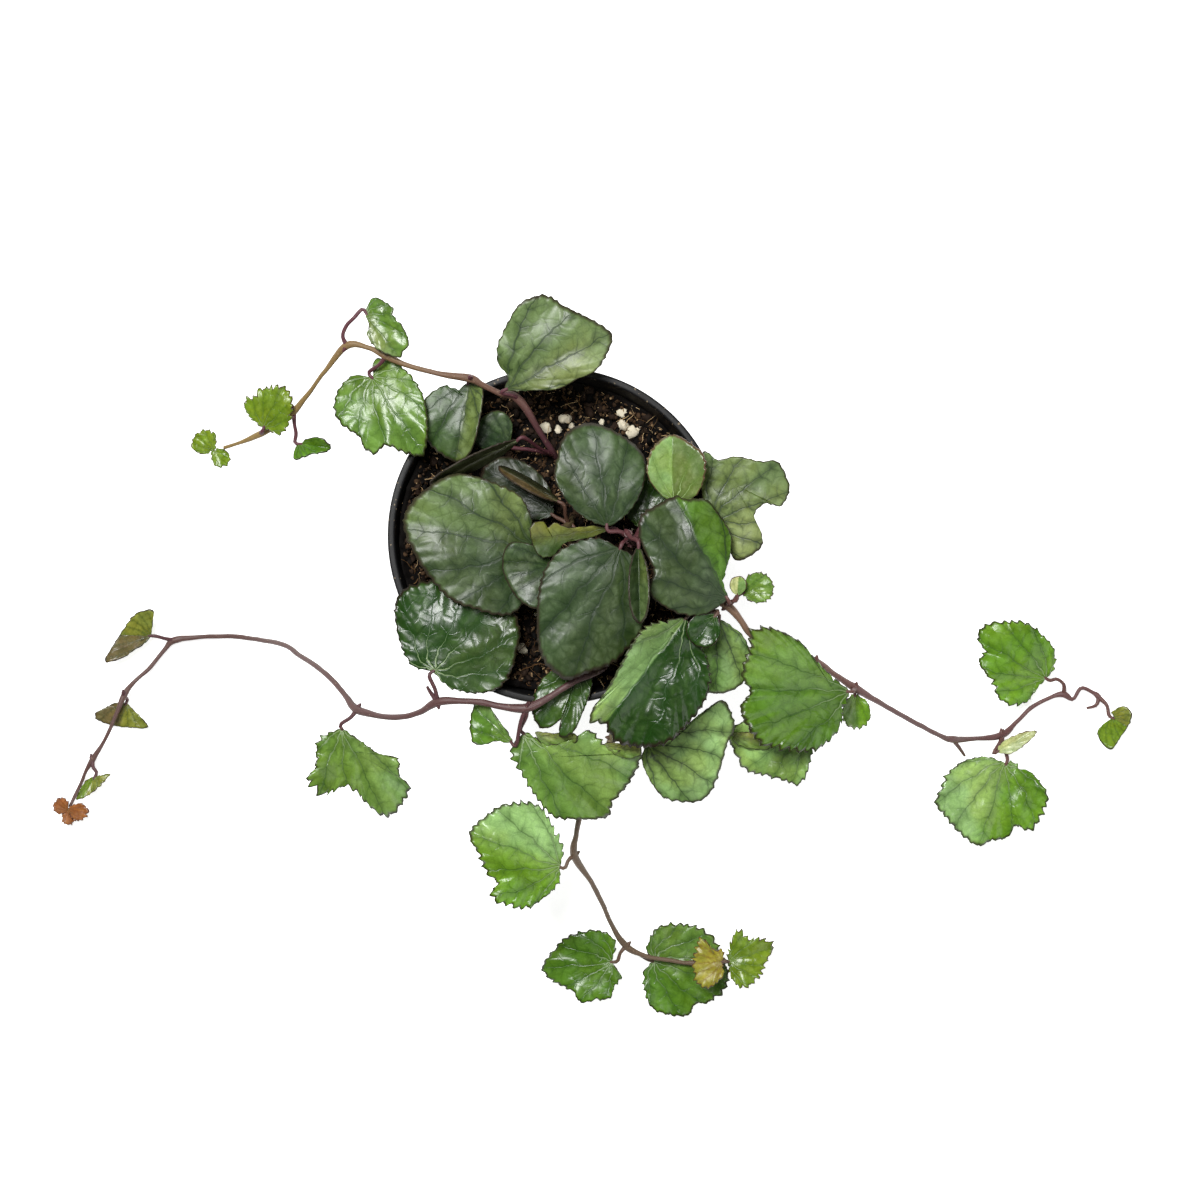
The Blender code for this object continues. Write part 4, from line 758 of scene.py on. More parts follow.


# Painted shade: shade is a near-black green for leaves under others, and moss is a dark leaf green darkened
# by painted shade.
PALETTE = {
    "grey": "546838", "pearl": "6b7c4e", "slate": "2c3f1d", "moss": "28420e", "deep": "143006",
    "shade": "1a2107", "fern": "54742b", "leaf": "466c14", "sage": "688849", "bright": "5b861c",
    "mint": "84a864", "lime": "5f7916", "cream": "aab586", "olive": "6e742e", "umber": "5d4f35",
    "amber": "807f26", "rust": "84502c",
}
MIDRIB = "b4c892"
UNDERSIDE = "6c7854"
print(len(PALETTE), "colours for the halves of leaves")

# %% [markdown]
# ### The ages of leaves
# A leaf changes as it ages: the youngest are deeply toothed and yellow-green, the oldest smooth-edged
# and bloomed with grey. Each age has, in this order: the height of the teeth, the waves and the finer
# crumples over the blade's length, the length of one tooth in millimetres and its sharpness, the
# strength of the pale bloom, the dark veins and the pale midrib, the roughness, the depth of the
# relief, and the colours of veins, bloom and edge. One shared set keeps leaves of an age alike.

# %% Looks
Look = namedtuple("Look", "teeth wave crumple tooth sharp bloom veins midrib rough relief vein frost edge")
LOOKS = {
    "old": Look(0.026, 0.020, 0.06, 2.9, 1.6, 0.70, 0.9, 0.05, 0.38, 0.20, "0f240a", "76846a", "2c201a"),
    "fresh": Look(0.055, 0.030, 0.08, 2.7, 1.5, 0.45, 0.6, 0.35, 0.28, 0.3, "183c08", "7ea45c", "241412"),
    "young": Look(0.130, 0.040, 0.11, 2.0, 1.4, 0.40, 0.5, 0.40, 0.28, 0.4, "36560c", "a0b864", "3a2018"),
    "pale": Look(0.045, 0.030, 0.07, 2.4, 1.5, 0.40, 0.4, 0.80, 0.30, 0.3, "5a7830", "dce8b8", "4e2c22"),
    "olive": Look(0.030, 0.025, 0.06, 2.6, 1.6, 0.40, 0.6, 0.20, 0.48, 0.3, "2a2a14", "8c8a70", "281c16"),
    "bud": Look(0.190, 0.040, 0.12, 1.7, 1.3, 0.40, 0.5, 0.30, 0.36, 0.4, "6a3c1c", "b8a860", "4a2018"),
}
print(len(LOOKS), "looks:", *LOOKS)

# %% [markdown]
# ## Leaf skin
# Veins on this leaf fan out from the stalk, a ray about every 30 degrees, each bending toward the tip,
# with side veins leaving each ray and a fine net between them. All of that is worked out from the two
# numbers that each point of a blade carries, its place along and across the midrib, so the veins stay
# in place on every leaf, however it is folded. Painting 46 leaves would take an image for each.

# %% Skin group
skin, asked = new_tree("leaf_skin", {
    "Left": "Color", "Right": "Color", "Vein": "Color", "Frost": "Color", "Edge": "Color",
    "Bloom": "Float", "Veins": "Float", "Midrib": "Float", "Roughness": "Float", "Relief": "Float",
    "Split": "Float", "Seed": "Float", "Size": "Float",
}, "Shader")


def blend(first, second, amount, kind="MIX"):
    """One colour over another by an amount from 0 to 1."""
    tree = tree_of((first, second, amount))
    made = tree.nodes.new("ShaderNodeMix")
    made.data_type = "RGBA"
    made.blend_type = kind
    for number, value in ((0, amount), (6, first), (7, second)):
        fill(made.inputs[number], value)
    return Wire(tree, made.outputs[2])


def shaded(base, low, high, value):
    """A colour made darker or lighter: times low where the value is 0 and times high where it is 1."""
    level = low + value * (high - low)
    return blend(base, join_xyz(level, level, level), 1.0, "MULTIPLY")


def carried(tree, name, whole=False):
    """A value that the points of a piece carry under a name: a number, or a whole vector."""
    return add(tree, "ShaderNodeAttribute", output=1 if whole else 2, attribute_name=name)


print("leaf skin:", len(asked), "inputs")

# %% Veins
RAY_STEP = math.radians(30)
RAY_BEND = 0.45
RAY_WIDTH = 0.011
RAY_TAPER = 0.008
RAY_THINNEST = 0.002
BRANCH_STEP = 0.19
BRANCH_LEAN = 0.75
BRANCH_SHIFT = 0.37
VEIN_SWAY = 0.13
CELLS = 8.0
along, across = split_xyz(carried(skin, "blade", whole=True))[:2]
own = join_xyz(along, across, asked["Seed"])
bent = turn_vector("ADD", own, sway(own, 4.5, VEIN_SWAY, 3.0))
bent_u, bent_v = split_xyz(bent)[:2]
reach = calc("SQRT", bent_u * bent_u + bent_v * bent_v)
opened = calc("ARCTAN2", bent_v, bent_u) * (1.0 + reach * RAY_BEND)
ray = calc("ROUND", opened / RAY_STEP)
aside = calc("ABSOLUTE", reach * (opened - ray * RAY_STEP) / (1.0 + reach * RAY_BEND))
ray_width = calc("MAXIMUM", RAY_WIDTH - reach * RAY_TAPER, RAY_THINNEST)
main_vein = rise(aside / ray_width, 0.3, 1.6, 1.0, 0.0)
vein_core = rise(aside / ray_width, 0.15, 0.7, 1.0, 0.0) * rise(reach, 0.05, 0.55, 1.0, 0.0)
ragged = (noise(own, 9.0, 3.0) - 0.5) * 0.09
vein_band = rise(aside + ragged, 0.004, 0.075, 1.0, 0.0)
branch_place = calc("FRACT", (reach - aside * BRANCH_LEAN) / BRANCH_STEP + ray * BRANCH_SHIFT + 9.0)
from_branch = calc("ABSOLUTE", branch_place - 0.5) * BRANCH_STEP
branch_fade = rise(aside, 0.02, 0.16, 1.0, 0.15)
branch = rise(from_branch, 0.001, 0.008, 1.0, 0.0) * branch_fade
branch_band = rise(from_branch + ragged * 0.6, 0.002, 0.045, 1.0, 0.0) * branch_fade
cells = {"Vector": bent, "Scale": asked["Size"] * CELLS}
to_cell_edge = add(skin, "ShaderNodeTexVoronoi", cells, feature="DISTANCE_TO_EDGE")
net = rise(to_cell_edge, 0.01, 0.09, 1.0, 0.0)
puffed = rise(to_cell_edge, 0.02, 0.24)
print("veins:", len(skin.nodes), "nodes so far")

# %% [markdown]
# ### Green, bloom and vein colours
# The blade's green is uneven: cloudy, warmer in patches, frosted with a pale bloom on the swellings
# between veins, darker beside the veins, with a pale midrib and a thin dark edge. They are laid one
# over another from the ground up, each by its own amount. A painted image would tie them together.

# %% Skin colour
CLOUD_SCALE = 2.3
MOTTLE_SCALE = 12.0
GRAIN_SCALE = 70.0
WARM = (1.22, 1.04, 0.62, 1.0)
LIFTED = (1.5, 1.5, 1.5, 1.0)
clouds = noise(own, CLOUD_SCALE, 2.0)
mottle = noise(bent, asked["Size"] * MOTTLE_SCALE, 3.0)
grain = noise(own, asked["Size"] * GRAIN_SCALE, 2.0)
left_half = rise(across + (mottle - 0.5) * asked["Split"], asked["Split"] * -1.0, asked["Split"])
body = blend(asked["Right"], asked["Left"], left_half)
body = shaded(body, 0.35, 1.55, clouds)
warm = rise(noise(turn_vector("ADD", own, (3.1, 5.7, 1.3)), 1.8, 2.0), 0.42, 0.62)
body = blend(body, WARM, warm * 0.6, "MULTIPLY")
frosted = (0.55 + puffed * 0.45) * rise(mottle, 0.2, 0.75) * (1.0 - vein_band * 0.8)
frosted = frosted * (1.0 - branch_band * 0.5)
pale = blend(blend(body, LIFTED, 1.0, "MULTIPLY"), asked["Frost"], 0.3)
body = blend(body, pale, asked["Bloom"] * frosted)
for vein, strength in ((vein_band, 0.42), (branch_band, 0.3), (net, 0.2), (branch, 0.45), (main_vein, 0.8)):
    body = blend(body, asked["Vein"], vein * asked["Veins"] * strength)
body = blend(body, colour(MIDRIB), vein_core * asked["Midrib"])
body = shaded(body, 0.72, 1.28, grain)
underside = carried(skin, "under")
body = blend(body, colour(UNDERSIDE), underside * 0.7)
body = blend(body, asked["Edge"], rise(carried(skin, "out"), 0.945, 0.99) * 0.85)
print("skin colour:", len(skin.nodes), "nodes so far")

# %% [markdown]
# ### Sheen and relief of a leaf
# Young leaves are glossier than old ones, and every blade swells a little between its veins. The
# swelling is far finer than the sheet's grid, so it is a bump in the surface, and the same clouds that
# tint the leaf vary its sheen. Real displacement would need millions of faces for the same look.

# %% Skin surface
SWELL_DEPTH = 0.3 * MM
LEAF_SPECULAR = 0.32
relief = puffed * 0.6 + grain * 0.06 + mottle * 0.35 - main_vein * 0.8 - branch * 0.4
swelling = {"Strength": asked["Relief"], "Distance": SWELL_DEPTH, "Height": relief}
bump = add(skin, "ShaderNodeBump", swelling)
gloss = asked["Roughness"] + clouds * 0.3 - 0.15 + main_vein * 0.1 + underside * 0.2
surface = {"Base Color": body, "Roughness": gloss, "Normal": bump, "Specular IOR Level": LEAF_SPECULAR}
surface = add(skin, "ShaderNodeBsdfPrincipled", surface)
skin_end = skin.nodes.new("NodeGroupOutput")
skin.links.new(surface.socket, skin_end.inputs[0])
print("leaf skin:", len(skin.nodes), "nodes")

# %% [markdown]
# ### One skin for each leaf
# No two leaves of a plant are tinted alike. Each gets a material of its own, which holds only the
# shared skin and this leaf's colours, age and size, so that a change to the veins reaches all of them
# at once. Whole copies of the skin would have to be mended one by one.

# %% Skin of one leaf
COMMON_LENGTH = 30.0


def new_material(name):
    """A material and its own node tree, shader and place of each point on the object, in metres."""
    made = bpy.data.materials.new(name)
    made.use_nodes = True
    tree = made.node_tree
    return made, tree, tree.nodes["Principled BSDF"], add(tree, "ShaderNodeTexCoord", output=3)


def leaf_material(name, look, left, right, split, seed, size):
    """The skin of one leaf, whose size is its length over the common one."""
    made, tree = new_material(name)[:2]
    tree.nodes.clear()
    group = tree.nodes.new("ShaderNodeGroup")
    group.node_tree = skin
    tints = {"Left": PALETTE[left], "Right": PALETTE[right], "Vein": look.vein, "Frost": look.frost}
    for socket, code in {**tints, "Edge": look.edge}.items():
        group.inputs[socket].default_value = colour(code)
    amounts = {"Bloom": look.bloom, "Veins": look.veins, "Midrib": look.midrib}
    amounts |= {"Roughness": look.rough, "Relief": look.relief}
    for socket, value in {**amounts, "Split": split, "Seed": seed, "Size": size}.items():
        group.inputs[socket].default_value = value
    end = tree.nodes.new("ShaderNodeOutputMaterial")
    tree.links.new(group.outputs[0], end.inputs["Surface"])
    return made


print("a common leaf is", COMMON_LENGTH, "mm long")

# %% [markdown]
# ## The edge and the hub of a leaf
# The corners of an edge are read in the leaf's own frame, along and across its midrib. An oval leaf
# gets its corners from its width: an ellipse, fuller toward the tip and drawn out a little to the
# stalk. The hub is the place on the midrib that sees the whole edge, so that the grid of the blade,
# which fans out from it, never folds over itself. Plain triangles would leave no rings to bend.

# %% Leaf edge
OVAL_POINTS = 12
OVAL_SWELL = 0.08
OVAL_TIP_SWELL = 0.12
OVAL_WEDGE = 0.05


def blade_outline(leaf):
    """The edge's corners over the blade's length, as (along, across), from the base round."""
    run = Vector(leaf.tip[:2]) - Vector(leaf.base[:2])
    length = run.length
    along = run / length
    across = Vector((-along.y, along.x))
    if leaf.outline:
        spots = [Vector(spot) - Vector(leaf.base[:2]) for spot in leaf.outline]
        return [Vector((0.0, 0.0))] + [Vector((s.dot(along), s.dot(across))) / length for s in spots]
    corners = [Vector((0.0, 0.0))]
    for i in range(1, OVAL_POINTS):
        angle = math.tau * i / OVAL_POINTS
        side = leaf.lift[1] if math.sin(angle) > 0 else leaf.lift[0]
        half = leaf.width / 2 / length * math.cos(math.radians(side))
        swell = 1.0 + OVAL_SWELL - OVAL_TIP_SWELL * math.cos(angle)
        wedge = OVAL_WEDGE * math.cos(angle / 2) ** 8
        corners.append(Vector((0.5 - 0.5 * math.cos(angle) + wedge, -half * math.sin(angle) * swell)))
    return corners


print("an oval leaf has", OVAL_POINTS, "corners")

# %% Leaf hub
HUB_STEPS = [0.14 + 0.04 * i for i in range(16)]
HUB_ROOM = 0.03
HUB_ASIDE = 0.04
HUB_TRIES = 8


def turning(corners):
    """1 where the corners run anticlockwise, -1 where they run clockwise."""
    return math.copysign(1.0, sum(a.cross(b) for a, b in zip(corners, corners[1:] + corners[:1])))


def edge_room(corners, spot):
    """How far the spot stands inside the nearest of the lines that the edge's sides lie on."""
    facing = turning(corners)
    sides = zip(corners, corners[1:] + corners[:1])
    return min(facing * (a - spot).cross(b - spot) / (b - a).length for a, b in sides)


def blade_hub(corners):
    """The place on the midrib nearest the base that sees the whole edge, or the best place beside it."""
    for u in HUB_STEPS:
        if edge_room(corners, Vector((u, 0.0))) > HUB_ROOM:
            return Vector((u, 0.0))
    aside = [HUB_ASIDE * step for step in range(-HUB_TRIES, HUB_TRIES + 1)]
    beside = [Vector((u, v)) for u in HUB_STEPS for v in aside]
    return max(beside, key=lambda spot: edge_room(corners, spot))


print("the hub is tried from", HUB_STEPS[0], "to", round(HUB_STEPS[-1], 2), "of the midrib")

# %% [markdown]
# ## Growing the leaves
# Each leaf of the plant differs in size, age, fold and teeth, yet all follow one plan. So each one
# hands its own numbers to the blade tree: a big leaf gets more points and teeth than a small one, and
# the old leaves over the pot have smoother edges. A copy of one leaf 46 times would look like a copy.

# %% Grow a blade
EDGE_SPACING = 0.55
FEWEST_EDGE_POINTS = 24
RING_SPACING = 3.5
FEWEST_RINGS = 7
FEWEST_TEETH = 7
SMOOTH_EDGE = 0.6
DEEP_TEETH = 0.1
FOLDED_SLOPE = 25
FOLDED_SPLIT = 0.015
FLAT_SPLIT = 0.18
SEEDS = 16


def grow_blade(leaf, name):
    """One leaf blade as a plain mesh object."""
    look = LOOKS[leaf.look]
    corners = blade_outline(leaf)
    hub = blade_hub(corners)
    turned = turning(corners) < 0
    if turned:
        corners = corners[:1] + corners[:0:-1]
    length = (Vector(leaf.tip[:2]) - Vector(leaf.base[:2])).length
    perimeter = sum((a - b).length for a, b in zip(corners, corners[1:] + corners[:1])) * length
    line = poly_curve(name, [[((*corner, 0.0), 1.0) for corner in corners]], 1.0, closed=True)
    seed = float(sum(map(ord, leaf.name)) % SEEDS)
    smoother = leaf.base[2] > POT_HEIGHT and look.teeth < DEEP_TEETH
    split = FOLDED_SPLIT if max(map(abs, leaf.lift)) >= FOLDED_SLOPE else FLAT_SPLIT
    left_slope, right_slope = [math.tan(math.radians(lift)) for lift in leaf.lift]
    return grown(name, blade_tree, line, {
        "Base": Vector(leaf.base) * MM, "Tip": Vector(leaf.tip) * MM, "Hub": (*hub, 0.0),
        "Left Slope": left_slope, "Right Slope": right_slope,
        "Arch": leaf.arch, "Wave": look.wave, "Phase": seed, "Turned": float(turned),
        "Teeth": look.teeth * (SMOOTH_EDGE if smoother else 1.0),
        "Sharpness": look.sharp, "Crumple": look.crumple,
        "Tooth Count": float(max(FEWEST_TEETH, round(perimeter / look.tooth))),
        "Edge Points": FEWEST_EDGE_POINTS + 2 * round(perimeter / EDGE_SPACING / 2),
        "Rings": FEWEST_RINGS + round(length / RING_SPACING),
        "Thickness": BLADE_THICKNESS * MM, "Eye": EYE * MM, "Rim Height": POT_HEIGHT * MM,
        "Material": leaf_material(name, look, leaf.left, leaf.right, split, seed, length / COMMON_LENGTH),
    })


print("at least", FEWEST_EDGE_POINTS, "points, a point every", EDGE_SPACING, "mm and", FEWEST_TEETH, "teeth")

# %% Grow the leaves
for leaf in LEAVES:
    keep(grow_blade(leaf, leaf.name.replace("leaf", "blade")), "leaf_" + leaf.look, leaf.name)

# %% [markdown]
# ## Crowded tips and folded edges
# At the end of a growing shoot the youngest leaves are still small and stand close together around
# the bud. They come from the same blade tree, only smaller and with deeper teeth. So do the strips
# where an edge has folded over and shows its dull olive underside. Grown with the leaf, a fold would
# need a sheet that turns back over itself, which a height over a plan can't do.

# %% Grow the tips and folds
for name, base, look, tone, blades in TIPS:
    for number, (tip, width) in enumerate(blades):
        young = Leaf(f"{name}_{number}", "", 0, base, tip, (10, 10), look, tone, tone, 0.06, width)
        keep(grow_blade(young, young.name.replace("leaf", "blade")), "leaf_" + look, name)
    print(name, len(blades), "young leaves")
for name, node, base, tip, outline in FOLDS:
    strip = Leaf(name, "", 0, base, tip, (0, 0), "olive", "olive", "fern", 0.0, 0.0, outline)
    keep(grow_blade(strip, name), "leaf_fresh", node)
print(len(FOLDS), "folded edges")

# %% [markdown]
# ## Stems and stalks
# The stems are purple-brown, a little crooked, thicker at each joint, and carry a leaf stalk and a
# small side bud there. A rod swept along a smooth line is the natural way to make one: the line is the
# stem's own row of places, and the tree adds the thickness and the crookedness. It also notes on each
# point how far along the rod and where round it the point is, for the bark.

# %% Shoot tree
CROOK_SCALE = 130.0
SLIMMEST = 0.72
UNEVEN_SCALE = 260.0
UNEVEN = 0.2
shoot_tree, given = new_tree("shoot", {
    "Spacing": "Float", "Sides": "Int", "Crook": "Float", "Material": "Material",
})
line = add(shoot_tree, "GeometryNodeCurveSplineType", [given["Geometry"]], spline_type="CATMULL_ROM")
spaced = {"Curve": line, "Length": given["Spacing"]}
line = add(shoot_tree, "GeometryNodeResampleCurve", spaced, mode="LENGTH")
where = add(shoot_tree, "GeometryNodeInputPosition")
crooked = sway(where, CROOK_SCALE, given["Crook"])
line = store(line, "along", add(shoot_tree, "GeometryNodeSplineParameter", output=1))
line = store(line, "branch", add(shoot_tree, "GeometryNodeCurveOfPoint"))
line = add(shoot_tree, "GeometryNodeSetPosition", {"Geometry": line, "Offset": crooked})
thick = add(shoot_tree, "GeometryNodeInputRadius") * (SLIMMEST + noise(where, UNEVEN_SCALE) * UNEVEN)
ring = add(shoot_tree, "GeometryNodeCurvePrimitiveCircle", {"Resolution": given["Sides"], "Radius": 1.0})
ring = store(ring, "ring", add(shoot_tree, "GeometryNodeInputPosition"), "FLOAT_VECTOR")
swept = {"Curve": line, "Profile Curve": ring, "Scale": thick, "Fill Caps": True}
end_tree(add(shoot_tree, "GeometryNodeCurveToMesh", swept), given["Material"])
print("shoot tree:", len(shoot_tree.nodes), "nodes")

# %% [markdown]
# ### Bark
# The skin of a young stem is thin, streaked lengthwise and specked with small pale pores. It turns from
# one colour near the pot to another toward the tip, and the stalks have a redder one of their own. The
# streaks are noise drawn out along the rod and wrapped round it, so they bend with the stem. An image
# wrapped round it would stretch at every bend.

# %% Bark
PORE = "a98f78"


def dress(shader, base, rough, bump, depth, height):
    """Gives a shader its colour, its roughness and a relief of a strength and a depth in millimetres."""
    relief = {"Strength": bump, "Distance": depth * MM, "Height": height}
    fill(shader.inputs["Base Color"], base)
    fill(shader.inputs["Roughness"], rough)
    fill(shader.inputs["Normal"], add(height.tree, "ShaderNodeBump", relief))


def bark_material(name, near, far, stalk, reach):
    """Bark that changes colour from the pot outwards, with stalks of their own colour."""
    made, tree, shader, spot = new_material(name)
    along = carried(tree, "along")
    ring_x, ring_y = split_xyz(carried(tree, "ring", whole=True))[:2]
    streaks = noise(join_xyz(ring_x * 1.6, ring_y * 1.6, along * 120.0), 3.0, 4.0)
    specks = noise(spot, 1400.0, 2.0)
    aged = rise(along + (noise(spot, 90.0) - 0.5) * 0.03, 0.0, reach)
    base = blend(colour(near), colour(far), aged)
    base = blend(base, colour(stalk), rise(carried(tree, "branch"), 0.0, 1.0) * 0.8)
    base = shaded(base, 0.65, 1.45, streaks)
    base = blend(base, colour(PORE), rise(specks, 0.66, 0.74) * 0.45)
    dress(shader, base, 0.42 + streaks * 0.25, 0.6, 0.2, streaks + specks * 0.4)
    return made


# The colours near the pot, far from it and of the stalks, and how many metres the change takes.
BARK = {
    "runner_northwest": ("4e2c34", "7a6438", "4e242c", 0.13),
    "runner_west": ("4c3030", "503630", "462428", 0.22),
    "runner_south": ("6c6638", "5a4836", "4a2c2a", 0.09),
    "runner_east": ("705a42", "583836", "4c2428", 0.12),
    "stem_west": ("50452c", "50452c", "4e3028", 0.05),
    "stem_centre": ("4e3030", "4e3030", "50282c", 0.05),
    "stem_southeast": ("5e5434", "5e5434", "4e302c", 0.05),
}
print(len(BARK), "barks")

# %% [markdown]
# ### Stem, stalks and side buds
# A stalk leaves its stem at a joint, rises a little and ends under its blade, where it thins into the
# midrib. Opposite the stalk sits a small side bud. Each is one more line with its own radii, and the
# shoot tree sweeps them all at once, so a stem with all it carries is one piece, as it grew.

# %% Lines of a shoot
JOINT_SWELL = 0.5
STALK_FOOT = 1.0
STALK_TIP = 0.55
STALK_RISE = 0.06
STALK_UNDER_BLADE = 1.6
STALK_INTO_BLADE = 0.8
BUD_RADII = (1.1, 0.9, 0.3)


def stalk_line(route):
    """A route with the radii of a stalk: stout at its foot and thin at its end."""
    return list(zip(route, [STALK_FOOT] + [STALK_RADIUS] * (len(route) - 2) + [STALK_TIP]))


def shoot_lines(stem):
    """A stem's own line, then its stalks, twigs and side buds, each as (place, radius) in millimetres."""
    leaves = [leaf for leaf in LEAVES if leaf.stem == stem.name]
    points = [seen(place) for place in stem.route]
    points[1].xy = points[0].xy
    joints = {leaf.joint for leaf in leaves} | {joint for joint, places in stem.twigs}
    main = []
    for i, place in enumerate(points):
        radius = stem.radius + (stem.tip_radius - stem.radius) * i / (len(points) - 1)
        main.append((place, radius + (JOINT_SWELL if i in joints and i > 1 else 0.0)))
    lines = [main]
    for leaf in leaves:
        start, end = points[leaf.joint], seen(leaf.base)
        along = (seen(leaf.tip) - end).normalized()
        rising = Vector((0.0, 0.0, STALK_RISE * (end - start).length))
        via = [seen(place) for place in leaf.via] or [start + (end - start) * 0.4 + rising]
        route = [start, *via, end - along * STALK_UNDER_BLADE, end + along * STALK_INTO_BLADE]
        lines.append(stalk_line(route))
        if leaf.joint > 1:
            side = (start - end).normalized()
            bud = start + side * 1.4 + Vector((0.0, 0.0, 0.5))
            lines.append(list(zip((start, bud, bud + side * 0.9), BUD_RADII)))
    for joint, places in stem.twigs:
        lines.append(stalk_line([points[joint]] + [seen(place) for place in places]))
    return lines


print("a stalk is", STALK_FOOT, "mm in radius at its foot and", STALK_TIP, "at its end")

# %% Grow the stems
STEM_STEP = 0.9
STEM_SIDES = 12
STEM_CROOK = 0.5
GREEN_STEMS = ("runner_south", "stem_west", "stem_southeast")
for stem in STEMS:
    bark = bark_material(stem.name + "_bark", *BARK[stem.name])
    name = stem.name.replace("runner", "shoot").replace("stem", "shoot_inner")
    shoot = grown(name, shoot_tree, poly_curve(stem.name, shoot_lines(stem)), {
        "Spacing": STEM_STEP * MM, "Sides": STEM_SIDES, "Crook": STEM_CROOK * MM, "Material": bark,
    })
    keep(shoot, "stem_olive" if stem.name in GREEN_STEMS else "stem_purple", stem.name)
    print(shoot.name, len(shoot.data.polygons), "faces")

# %% [markdown]
# ## The pot
# A nursery pot is blown or moulded from thin black plastic: a tapered wall, a folded rim that stiffens
# the mouth, and holes in the floor. It is a shape of revolution, so a tree turns one profile about the
# axis and then cuts the holes. The profile's corners are rounded, as moulded plastic's are.

# %% Lathe tree
lathe_tree, given = new_tree("lathe", {
    "Sides": "Int", "Rows": "Int", "Holes": "Int", "Hole Radius": "Float", "Hole Circle": "Float",
    "Hole Depth": "Float", "Material": "Material",
})
wall, grid_x, grid_y = grid_sheet(lathe_tree, given["Sides"], given["Rows"])
row = calc("ROUND", (grid_y + 0.5) * (given["Rows"] - 1.0))
spot = add(lathe_tree, "GeometryNodeInputPosition")
picked = {"Geometry": given["Geometry"], "Value": spot, "Index": row}
profile = add(lathe_tree, "GeometryNodeSampleIndex", picked, data_type="FLOAT_VECTOR", domain="POINT")
radius, level = split_xyz(profile)[::2]
angle = (grid_x + 0.5) * math.tau
round_place = join_xyz(radius * calc("COSINE", angle), radius * calc("SINE", angle), level)
wall = moved(wall, round_place)
drill = {"Vertices": 24, "Radius": given["Hole Radius"], "Depth": given["Hole Depth"]}
drill = add(lathe_tree, "GeometryNodeMeshCylinder", drill)
spots = {"Resolution": given["Holes"], "Radius": given["Hole Circle"]}
spots = add(lathe_tree, "GeometryNodeCurvePrimitiveCircle", spots)
drills = add(lathe_tree, "GeometryNodeInstanceOnPoints", {"Points": spots, "Instance": drill})
drills = add(lathe_tree, "GeometryNodeRealizeInstances", [drills])
cut = {"Mesh 1": wall, "Mesh 2": drills}
wall = add(lathe_tree, "GeometryNodeMeshBoolean", cut, operation="DIFFERENCE", solver="EXACT")
end_tree(wall, given["Material"])
print("lathe tree:", len(lathe_tree.nodes), "nodes")

# %% [markdown]
# ### Black plastic
# The pot's plastic comes out of its mould black and slightly glossy. Use scuffs it, a film of dry peat
# dulls it in patches, and dust specks settle on the rim. One noise gives the scuffs their colour,
# their duller sheen and their depth alike, so the three agree. An image of scratches could be laid over
# it instead, but it would need unwrapping and would repeat.

# %% Plastic
BLACK = "0c0c0d"
FILM = "4a443c"
SPECK = "8a7a62"
SPECKED_BAND = 4.0
PLASTIC_SPECULAR = 0.25


def plastic_material():
    """Black moulded plastic with fine scuffs, a dull film in patches and dust specks on the rim."""
    made, tree, shader, spot = new_material("black_plastic")
    scuffs = noise(turn_vector("MULTIPLY", spot, (1.0, 1.0, 6.0)), 160.0, 6.0, 0.7)
    dust = rise(noise(spot, 45.0, 3.0), 0.48, 0.75)
    base = blend(colour(BLACK), colour(FILM), dust * 0.12)
    on_rim = rise(split_xyz(spot)[2], (POT_HEIGHT - SPECKED_BAND) * MM, POT_HEIGHT * MM)
    base = blend(base, colour(SPECK), rise(noise(spot, 900.0, 1.0), 0.68, 0.74) * on_rim * 0.6)
    base = shaded(base, 0.7, 1.3, scuffs)
    dress(shader, base, 0.36 + scuffs * 0.25 + dust * 0.15, 0.25, 0.2, scuffs)
    shader.inputs["Specular IOR Level"].default_value = PLASTIC_SPECULAR
    return made


print("dust specks lie on the top", SPECKED_BAND, "mm of the pot")

# %% [markdown]
# ### The pot's profile
# The profile runs from the middle of the floor outwards, over a low foot ring, up the tapering wall,
# round the folded rim and back down inside. Its corners are rounded as a mould rounds them, which also
# gives the rim the fine highlight that shows where it turns. A bevel on the finished pot would round
# the drilled holes too.

# %% Pot profile
CORNER_RADIUS = 0.7
FOOT_RECESS = 0.6


def pot_radius(height):
    """The outer radius of the pot's tapering wall."""
    base = BASE_DIAMETER / 2
    return base + (RIM_DIAMETER / 2 - RIM_OVERHANG - base) * height / POT_HEIGHT


def rounded(points, radius, steps=4):
    """A row of points with each inner corner replaced by a short curve."""
    made = [points[0]]
    for before, corner, after in zip(points, points[1:], points[2:]):
        back, ahead = (before - corner), (after - corner)
        near = min(radius, back.length * 0.45, ahead.length * 0.45)
        start, end = corner + back.normalized() * near, corner + ahead.normalized() * near
        for step in range(steps + 1):
            t = step / steps
            made.append(start.lerp(corner, t).lerp(corner.lerp(end, t), t))
    return made + [points[-1]]


rim = RIM_DIAMETER / 2
base = BASE_DIAMETER / 2
band_foot = POT_HEIGHT - RIM_BAND_HEIGHT
profile = [Vector(spot) for spot in (
    (0.0, FOOT_RECESS), (base - 5.0, FOOT_RECESS), (base - 4.0, 0.0),
    (base - 1.5, 0.0), (base, 1.5), (pot_radius(40.0), 40.0),
    (pot_radius(band_foot), band_foot),
    (rim - 0.3, band_foot + RIM_OVERHANG), (rim - 0.3, POT_HEIGHT - 3.2), (rim, POT_HEIGHT - 2.6),
    (rim, POT_HEIGHT), (rim - 2.2, POT_HEIGHT), (pot_radius(POT_HEIGHT) - WALL, POT_HEIGHT - 1.4),
    (pot_radius(70.0) - WALL, 70.0), (pot_radius(FLOOR) - WALL, FLOOR), (0.0, FLOOR),
)]
profile = rounded(profile, CORNER_RADIUS)
print("pot profile:", len(profile), "points")

